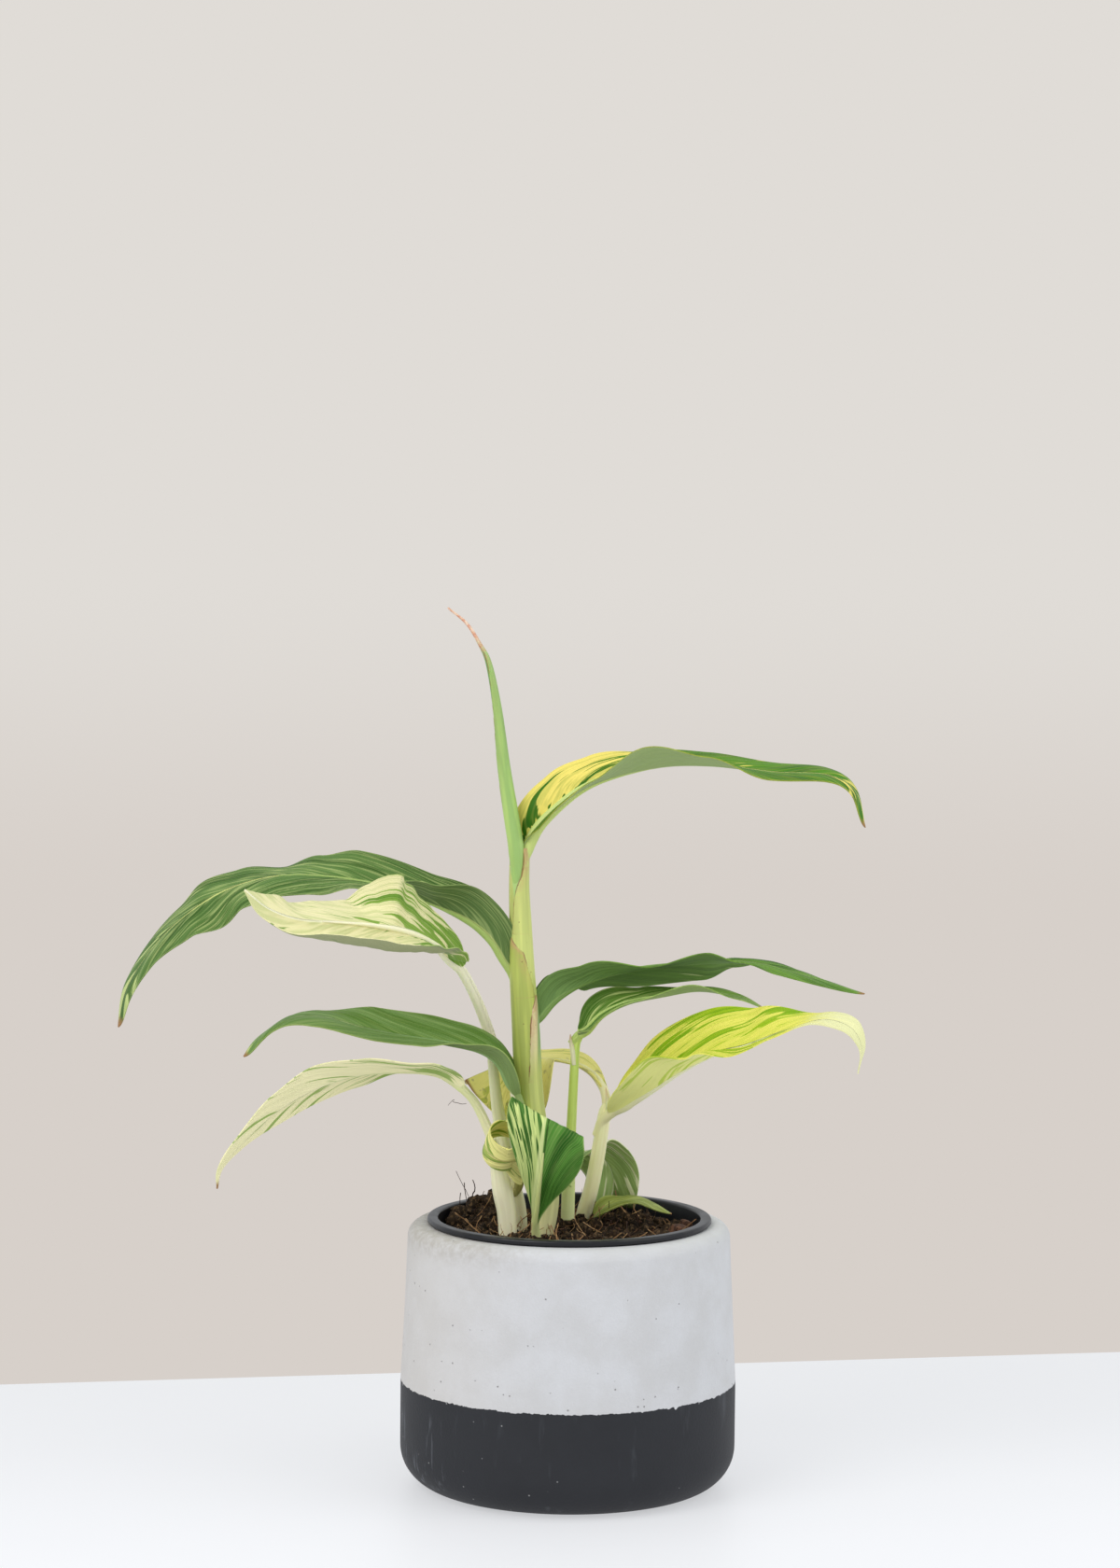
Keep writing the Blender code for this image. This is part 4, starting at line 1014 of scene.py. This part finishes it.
grow_leaf(
    "middle_left_leaf", "green_leaf", blade=0.12, half=14, side=-1, outline=(0.42, 0.45),
    rib=((-18, -9, 150), (-24.2, -12, 168), (-29.4, -13, 179.4), (-37.6, -13, 185.6), (-55, -13, 189),
        (-71, -13, 191.3), (-86.5, -12, 194.2), (-104, -11, 198.7), (-118, -10, 197.7), (-129.7, -9, 190),
        (-136.8, -8, 181.5)),
    pose=((0, 40, 60, 150, 130), (0.22, 22, 38, 150, 152), (0.34, 10, 10, 134, 152),
        (0.45, 0, -10, 135, 145), (0.6, 0, -20, 135, 150), (0.75, 0, -30, 166, 183),
        (0.88, 12, -28, 170, 198), (1, -20, -40, 160, 180)),
    pale=((0, 0, 0), (0.7, 0, 0), (0.9, 0.3, 0.3), (1, 0.6, 0.6)),
    look=dict(rib_width=0.9, seed=6.4, dull_green=(130, 148, 96)),
    stalk=(2.2, 1.8, (160, 176, 96), (124, 156, 92), (3, 30)),
)

# The leaves of the two left canes: pale ones, cream with green along some veins. The lower one is
# seen from below, and the upper one is folded and comes towards the camera.
grow_leaf(
    "low_left_leaf", "cream_leaf", blade=0.22, half=14, side=-1,
    rib=((-30.5, -12.8, 139.1), (-35, -10.9, 150.4), (-40, -11.2, 161.2), (-47.8, -14, 171.2),
        (-58.6, -17, 177.1), (-81.7, -23, 177.5), (-100.8, -27, 173.2), (-119.2, -30, 163.6),
        (-135.6, -32, 149), (-144, -32, 138.2), (-145.6, -32, 129.9)),
    pose=((0, 50, 80, 130, 100), (0.22, 50, 60, 150, 150), (0.3, 24, 30, 165, 200),
        (0.38, 20, 20, 160, 230), (0.5, 27, 36, 186, 236), (0.62, 40, 50, 192, 236),
        (0.72, 33, 40, 195, 235), (0.88, 30, 20, 190, 210), (1, 20, 20, 180, 190)),
    pale=((0, 0.95, 0.95), (0.2, 0.6, 0.1), (0.28, 0.36, 0.1), (0.36, 0.66, 0.36), (0.5, 0.66, 0.6),
        (1, 0.8, 0.8)),
    look=dict(green=(120, 164, 48), dark=(80, 132, 22), pale=(238, 232, 180), rib=(238, 234, 196),
        rib_width=1.5, spacing=8, seed=9.3, muted=0.75, dull_green=(162, 184, 106),
        dull_pale=(244, 238, 190)),
    stalk=(2.4, 1.7, (228, 224, 178), (218, 222, 160), (5, 40)),
)
grow_leaf(
    "folded_left_leaf", "cream_leaf", blade=0.26, half=22.5, side=-1, outline=(0.42, 0.7),
    rib=((-33.05, 1, 181.6), (-36, 0, 192.7), (-41.2, -5.5, 207.4), (-46.2, -12, 218), (-51, -19, 225),
        (-56, -28, 231), (-66, -42, 237.8), (-80.6, -57, 242.2), (-95, -70, 244.6), (-109.3, -82, 246.8),
        (-121, -91, 252), (-130, -97.5, 260)),
    pose=((0, 50, 80, 130, 100), (0.26, 60, 80, 110, 90), (0.34, 10, 50, 146, 146),
        (0.42, -20, 60, 146, 142), (0.48, -50, 58, 132, 126), (0.535, -70, 58, 110, 104),
        (0.565, -80, 60, 142, 148), (0.6, -85, 60, 162, 170), (0.8, -85, 56, 160, 166),
        (0.9, -82, 20, 146, 150), (1, -60, -40, 150, 150)),
    pale=((0, 0.95, 0.95), (0.24, 0.5, 0.5), (0.3, 0.3, 0.3), (0.38, 0.45, 0.4), (0.5, 0.76, 0.46),
        (0.57, 0.86, 0.72), (0.66, 0.9, 0.84), (1, 0.95, 0.95)),
    look=dict(green=(130, 164, 66), dark=(88, 134, 32), pale=(228, 222, 170), rib=(244, 242, 212),
        rib_width=1.9, spacing=12, seed=2.2, muted=0.95, dry_tip=0, dull_from=0.38,
        dull_green=(136, 146, 108), dull_pale=(150, 156, 116)),
    stalk=(2.4, 2.2, (238, 230, 194), (242, 238, 200), (5, 40)),
)

# The leaves of the thin and right canes: a small dark streaked one, a bright yellow one that
# reaches forward, a yellow one that arches back over the canes, and a dark striped one behind.
grow_leaf(
    "streaked_right_leaf", "green_leaf", blade=0.05, half=12, side=1, outline=(0.4, 0.46),
    rib=((3, 10, 186.3), (6.9, 8.7, 191.4), (13.2, 5, 198.9), (24, 1.4, 204.4), (39, -0.6, 207.6),
        (54.6, -1.5, 209.8), (70.4, -1.5, 206.8), (80.3, -1.5, 202.9)),
    pose=((0, 40, 60, 140, 125), (0.15, -8, 0, 122, 124), (0.4, 5, 5, 163, 165), (0.65, 20, 20, 172, 185),
        (0.85, 0, 0, 170, 170), (1, 0, 0, 170, 170)),
    pale=((0, 0.2, 0.2), (0.15, 0.3, 0.3), (0.35, 0.3, 0.42), (0.5, 0.1, 0.1), (1, 0.1, 0.2)),
    look=dict(green=(112, 150, 60), dark=(66, 112, 22), pale=(200, 214, 134), rib=(176, 200, 120),
        spacing=10, seed=7.7, lines=0.25, dull_green=(160, 176, 128)),
    stalk=(2, 2, (192, 214, 116), (176, 204, 116), (5, 30)),
)
grow_leaf(
    "bright_leaf", "yellow_leaf", blade=0.07, half=20, side=1,
    rib=((13.8, 17, 147), (16, 15, 153), (22.5, 10, 159), (34, 2, 167.5), (47, -8, 177.3), (60, -17, 185),
        (73, -27, 190), (88, -38, 197.5), (102.5, -48, 203.5), (113.2, -55, 201.5), (117.6, -57, 194),
        (116.4, -58, 183.5)),
    pose=((0, 30, 45, 150, 135), (0.15, 32, 50, 122, 130), (0.3, 42, 50, 116, 120),
        (0.45, 22, 10, 120, 126), (0.58, 8, 0, 138, 152), (0.75, 12, 2, 168, 192),
        (0.9, -20, -20, 145, 160), (1, 0, 0, 170, 170)),
    pale=((0, 0.9, 0.9), (0.2, 0.85, 0.72), (0.4, 0.6, 0.56), (0.65, 0.52, 0.5), (0.8, 0.85, 0.85),
        (1, 1, 1)),
    look=dict(green=(164, 194, 28), dark=(118, 164, 6), pale=(226, 222, 98), rib=(224, 224, 176),
        spacing=13, seed=4.4, muted=0.85, lines=0.2, dry_tip=0, bleach=0.74, dull_green=(212, 230, 106),
        dull_pale=(250, 252, 164)),
    stalk=(2.4, 2.3, (244, 240, 182), (250, 250, 200), (5, 40)),
)
grow_leaf(
    "yellow_back_leaf", "yellow_leaf", blade=0.04, half=27.5, side=-1, outline=(0.74, 1.6),
    rib=((14.5, 16.7, 156.35), (13.5, 19.5, 164), (9.5, 24, 171), (1, 27, 175), (-12, 26, 176.6),
        (-27, 22.5, 175), (-38, 19, 171.2), (-44.5, 17, 168.5)),
    pose=((0, -40, -60, 150, 150), (0.3, 5, 0, 160, 160), (0.51, 10, 5, 174, 180),
        (0.58, -82, -92, 178, 184), (0.75, -80, -92, 185, 195), (1, -60, -70, 190, 200)),
    pale=((0, 0.75, 0.7), (0.5, 0.8, 0.7), (1, 0.6, 0.6)),
    look=dict(green=(214, 210, 108), dark=(184, 190, 84), pale=(238, 228, 136), rib=(160, 170, 90),
        rib_width=0.7, spacing=9, seed=8.1, muted=0.3, spots=0.5, dull_green=(222, 228, 156)),
    stalk=(1.9, 2.1, (236, 230, 182), (232, 226, 158), (5, 40)),
)
grow_leaf(
    "back_leaf", "green_leaf", blade=0.12, half=12.2, side=-1, near=(-1, 0, 0), outline=(0.6, 0.8),
    rib=((-0.3, 12.5, 125), (1, 17.5, 131), (4, 25.5, 135), (9, 31.5, 136), (14.5, 34.5, 133),
        (18.5, 36, 126), (19.5, 37, 115), (20, 40, 111), (20, 45, 110.3)),
    pose=((0, 30, 60, 150, 120), (0.3, -45, -60, 150, 150), (0.6, -25, -35, 192, 200),
        (0.8, -40, -45, 205, 208), (1, 0, 0, 180, 180)),
    pale=((0, 0.35, 0.35), (0.3, 0.34, 0.34), (1, 0.34, 0.34)),
    look=dict(green=(160, 188, 104), dark=(124, 158, 76), pale=(226, 234, 186), rib=(240, 242, 214),
        rib_width=0.9, rib_strength=0.95, spacing=9, seed=2.9, lines=0.3, dull_green=(150, 174, 104)),
    stalk=(1.6, 1.3, (170, 190, 110), (190, 204, 150), (5, 30)),
)

# The low leaves: one that has curled itself into a ring on a short stalk, one that stands in front
# of the canes with its tip folded back, and a small one that lies out over the soil.
CURL_STALK = ((-24.5, 3.5, 123.5), (-20.5, -3.2, 130), (-18.4, -11.5, 133.5), (-18.4, -19.5, 136.5))
CURL_CENTRE = Vector((-27.2, -23.2, 148.8))
CURL_RADIUS = 9.6
CURL_INNER_RADIUS = 6.4
CURL_AXIS = Vector((0.2, -0.72, 0.66)).normalized()
CURL_HALF_WIDTH = 8.4
CURL_START = -55.0
CURL_END = -345.0
CURL_STEPS = 9


def curled_rib():
    """The rib of the curled leaf: its stalk, then a loop about a slanted axis."""
    right = (Vector((1, 0, 0)) - CURL_AXIS * CURL_AXIS.x).normalized()
    up = CURL_AXIS.cross(right)
    rib = list(CURL_STALK)
    for step in range(CURL_STEPS + 1):
        share = step / CURL_STEPS
        turn = math.radians(CURL_START + (CURL_END - CURL_START) * share)
        radius = CURL_RADIUS + (CURL_INNER_RADIUS - CURL_RADIUS) * share
        rib.append(tuple(CURL_CENTRE + radius * (right * math.cos(turn) + up * math.sin(turn))))
    return rib


grow_leaf(
    "curled_leaf", "yellow_leaf", blade=0.22, half=CURL_HALF_WIDTH, side=-1, near=tuple(CURL_AXIS),
    outline=(0.45, 0.4),
    rib=curled_rib(),
    pose=((0, 0, 0, 180, 180), (1, 0, 0, 180, 180)),
    pale=((0, 0.8, 0.8), (1, 0.75, 0.45)),
    look=dict(green=(168, 190, 66), dark=(122, 154, 32), pale=(236, 228, 140), rib=(222, 216, 140),
        spacing=9, seed=1.1, muted=0.3, dull_pale=(232, 226, 158)),
    stalk=(2.2, 1.9, (190, 186, 120), (176, 172, 96), (5, 30)),
)
grow_leaf(
    "front_leaf", "streaked_leaf", blade=0.2, half=16, side=-1, near=(-1, 0, 0), outline=(0.75, 1.9),
    skew=0.5, sweep=(5, 7),
    rib=((-13.4, -19.5, 94), (-13.7, -19.5, 108), (-14.3, -22, 115), (-13.3, -26, 124), (-12, -33, 136.5),
        (-10.8, -37, 148), (-9.8, -38, 156.5), (-9, -36, 160), (-8.7, -32.5, 158), (-8.8, -30, 152.5)),
    pose=((0, 30, 60, 150, 120), (0.25, 20, 20, 160, 160), (0.5, 5, 0, 180, 190), (0.7, 0, 0, 180, 190),
        (1, 0, 0, 180, 180)),
    pale=((0, 0.8, 0.6), (0.3, 0.6, 0.2), (0.6, 0.48, 0.02), (1, 0.4, 0)),
    look=dict(green=(76, 128, 46), dark=(32, 84, 12), pale=(210, 224, 140), rib=(224, 234, 160),
        rib_width=2.4, rib_strength=0.7, rib_shift=-1.2, spacing=16, dash=0.1, seed=3.6, lines=0.05),
    stalk=(2.4, 1.9, (212, 212, 156), (196, 208, 132), (5, 30)),
)
grow_leaf(
    "soil_leaf", "green_leaf", blade=0.32, half=7, side=1,
    rib=((11, 7, 96), (12, 8, 109), (14.3, 8, 114), (20.6, 9, 117.2), (28.6, 10, 118.3), (36.6, 11, 116),
        (43.4, 12, 112.5)),
    pose=((0, 50, 80, 130, 100), (0.35, -5, -10, 120, 120), (0.6, 12, -8, 160, 180),
        (1, -20, -30, 170, 190)),
    pale=((0, 0.3, 0.3), (1, 0.15, 0.15)),
    look=dict(green=(140, 150, 76), dark=(110, 122, 46), pale=(176, 184, 110), rib=(170, 180, 108),
        seed=4.9),
    stalk=(1.5, 1.3, (150, 160, 90), (120, 132, 66), (5, 30)),
)

# The surroundings: a white table top, painted darker towards the back and glowing with its own colour as
# painted light that washes out shadows on it, a plain warm backdrop colour, soft light from the left front
# with a weaker one from the right, and a camera where the photo was taken from.
TABLE_BACK = ((-3.0, -0.28), (3.0, 0.73))
TABLE_FRONT = -2.2
LIGHT_TARGET = (0, 0, 0.18)
CAMERA_PLACE = (-0.0052, -1.65, 0.4065)
CAMERA_DOWN = 3.8
CAMERA_ROLL = 0.4
FRAME_LONG_SIDE = 1680
FOCAL_PIXELS = 4221


def table_top():
    bpy.ops.object.select_all(action="DESELECT")
    bpy.ops.mesh.primitive_plane_add(size=1)
    table = named("table_top")
    front = [(corner[0], TABLE_FRONT) for corner in TABLE_BACK]
    for vertex, (x, y) in zip(table.data.vertices, (*front, *TABLE_BACK)):
        vertex.co = (x, y, 0)
    material, place = new_material("white_table")
    plain = blend(grain(place, 6), (239, 240, 243), (245, 246, 249))
    # Painted shade: the table is a little darker towards the back.
    glow_with_back_shade = blend(times(ramp(axes(place)[1], -0.25, 0.25), 0.9), plain, (228, 229, 231))
    # Painted light: the table glows with its own colour, which washes out the shadows on it.
    coat(material, {"Base Color": blend(0.65, glow_with_back_shade, (0, 0, 0)), "Roughness": 0.5, "Emission Color": glow_with_back_shade,
                    "Emission Strength": 0.6})
    table.data.materials.append(material)


def soft_light(name, place, size, power, tint):
    """A round lamp of a size in metres and a power in watts, turned to the middle of the plant."""
    lamp = bpy.data.lights.new(name, "AREA")
    lamp.shape = "DISK"
    lamp.size = size
    lamp.energy = power
    lamp.color = tint
    light = bpy.data.objects.new(name, lamp)
    bpy.context.scene.collection.objects.link(light)
    way = Vector(LIGHT_TARGET) - Vector(place)
    light.matrix_world = Matrix.Translation(place) @ way.to_track_quat("-Z", "Y").to_matrix().to_4x4()


def backdrop():
    """A warm wall colour behind the object, and a neutral glow that lights it from all round."""
    world = bpy.data.worlds.new("backdrop")
    bpy.context.scene.world = world
    world.use_nodes = True
    tree = world.node_tree
    tree.nodes.clear()
    height = axes(add("TexCoord", {}, tree).outputs["Generated"])[2]
    wall = blend(ramp(height, -0.1, -0.01), (215, 208, 202), (224, 220, 215))
    seen = add("Background", {"Color": wall, "Strength": 1}).outputs[0]
    glow = add("Background", {"Color": (0.95, 0.97, 1, 1), "Strength": 0.8}, tree).outputs[0]
    camera_ray = add("LightPath", {}, tree).outputs["Is Camera Ray"]
    add("OutputWorld", {0: add("MixShader", {0: camera_ray, 1: glow, 2: seen}).outputs[0]})


def camera():
    lens = bpy.data.cameras.new("camera")
    lens.lens = FOCAL_PIXELS / FRAME_LONG_SIDE * lens.sensor_width
    seat = bpy.data.objects.new("camera", lens)
    bpy.context.scene.collection.objects.link(seat)
    tilt = Matrix.Rotation(math.radians(90 - CAMERA_DOWN), 4, "X")
    roll = Matrix.Rotation(math.radians(CAMERA_ROLL), 4, "Z")
    seat.matrix_world = Matrix.Translation(CAMERA_PLACE) @ tilt @ roll
    bpy.context.scene.camera = seat


table_top()
soft_light("window_light", (-1.2, -1.2, 1.5), 1.5, 21, (1.0, 0.99, 0.97))
soft_light("far_light", (1.4, -0.5, 1.3), 1.6, 12, (0.97, 0.99, 1.0))
backdrop()
camera()
bpy.context.scene.view_settings.view_transform = "Standard"
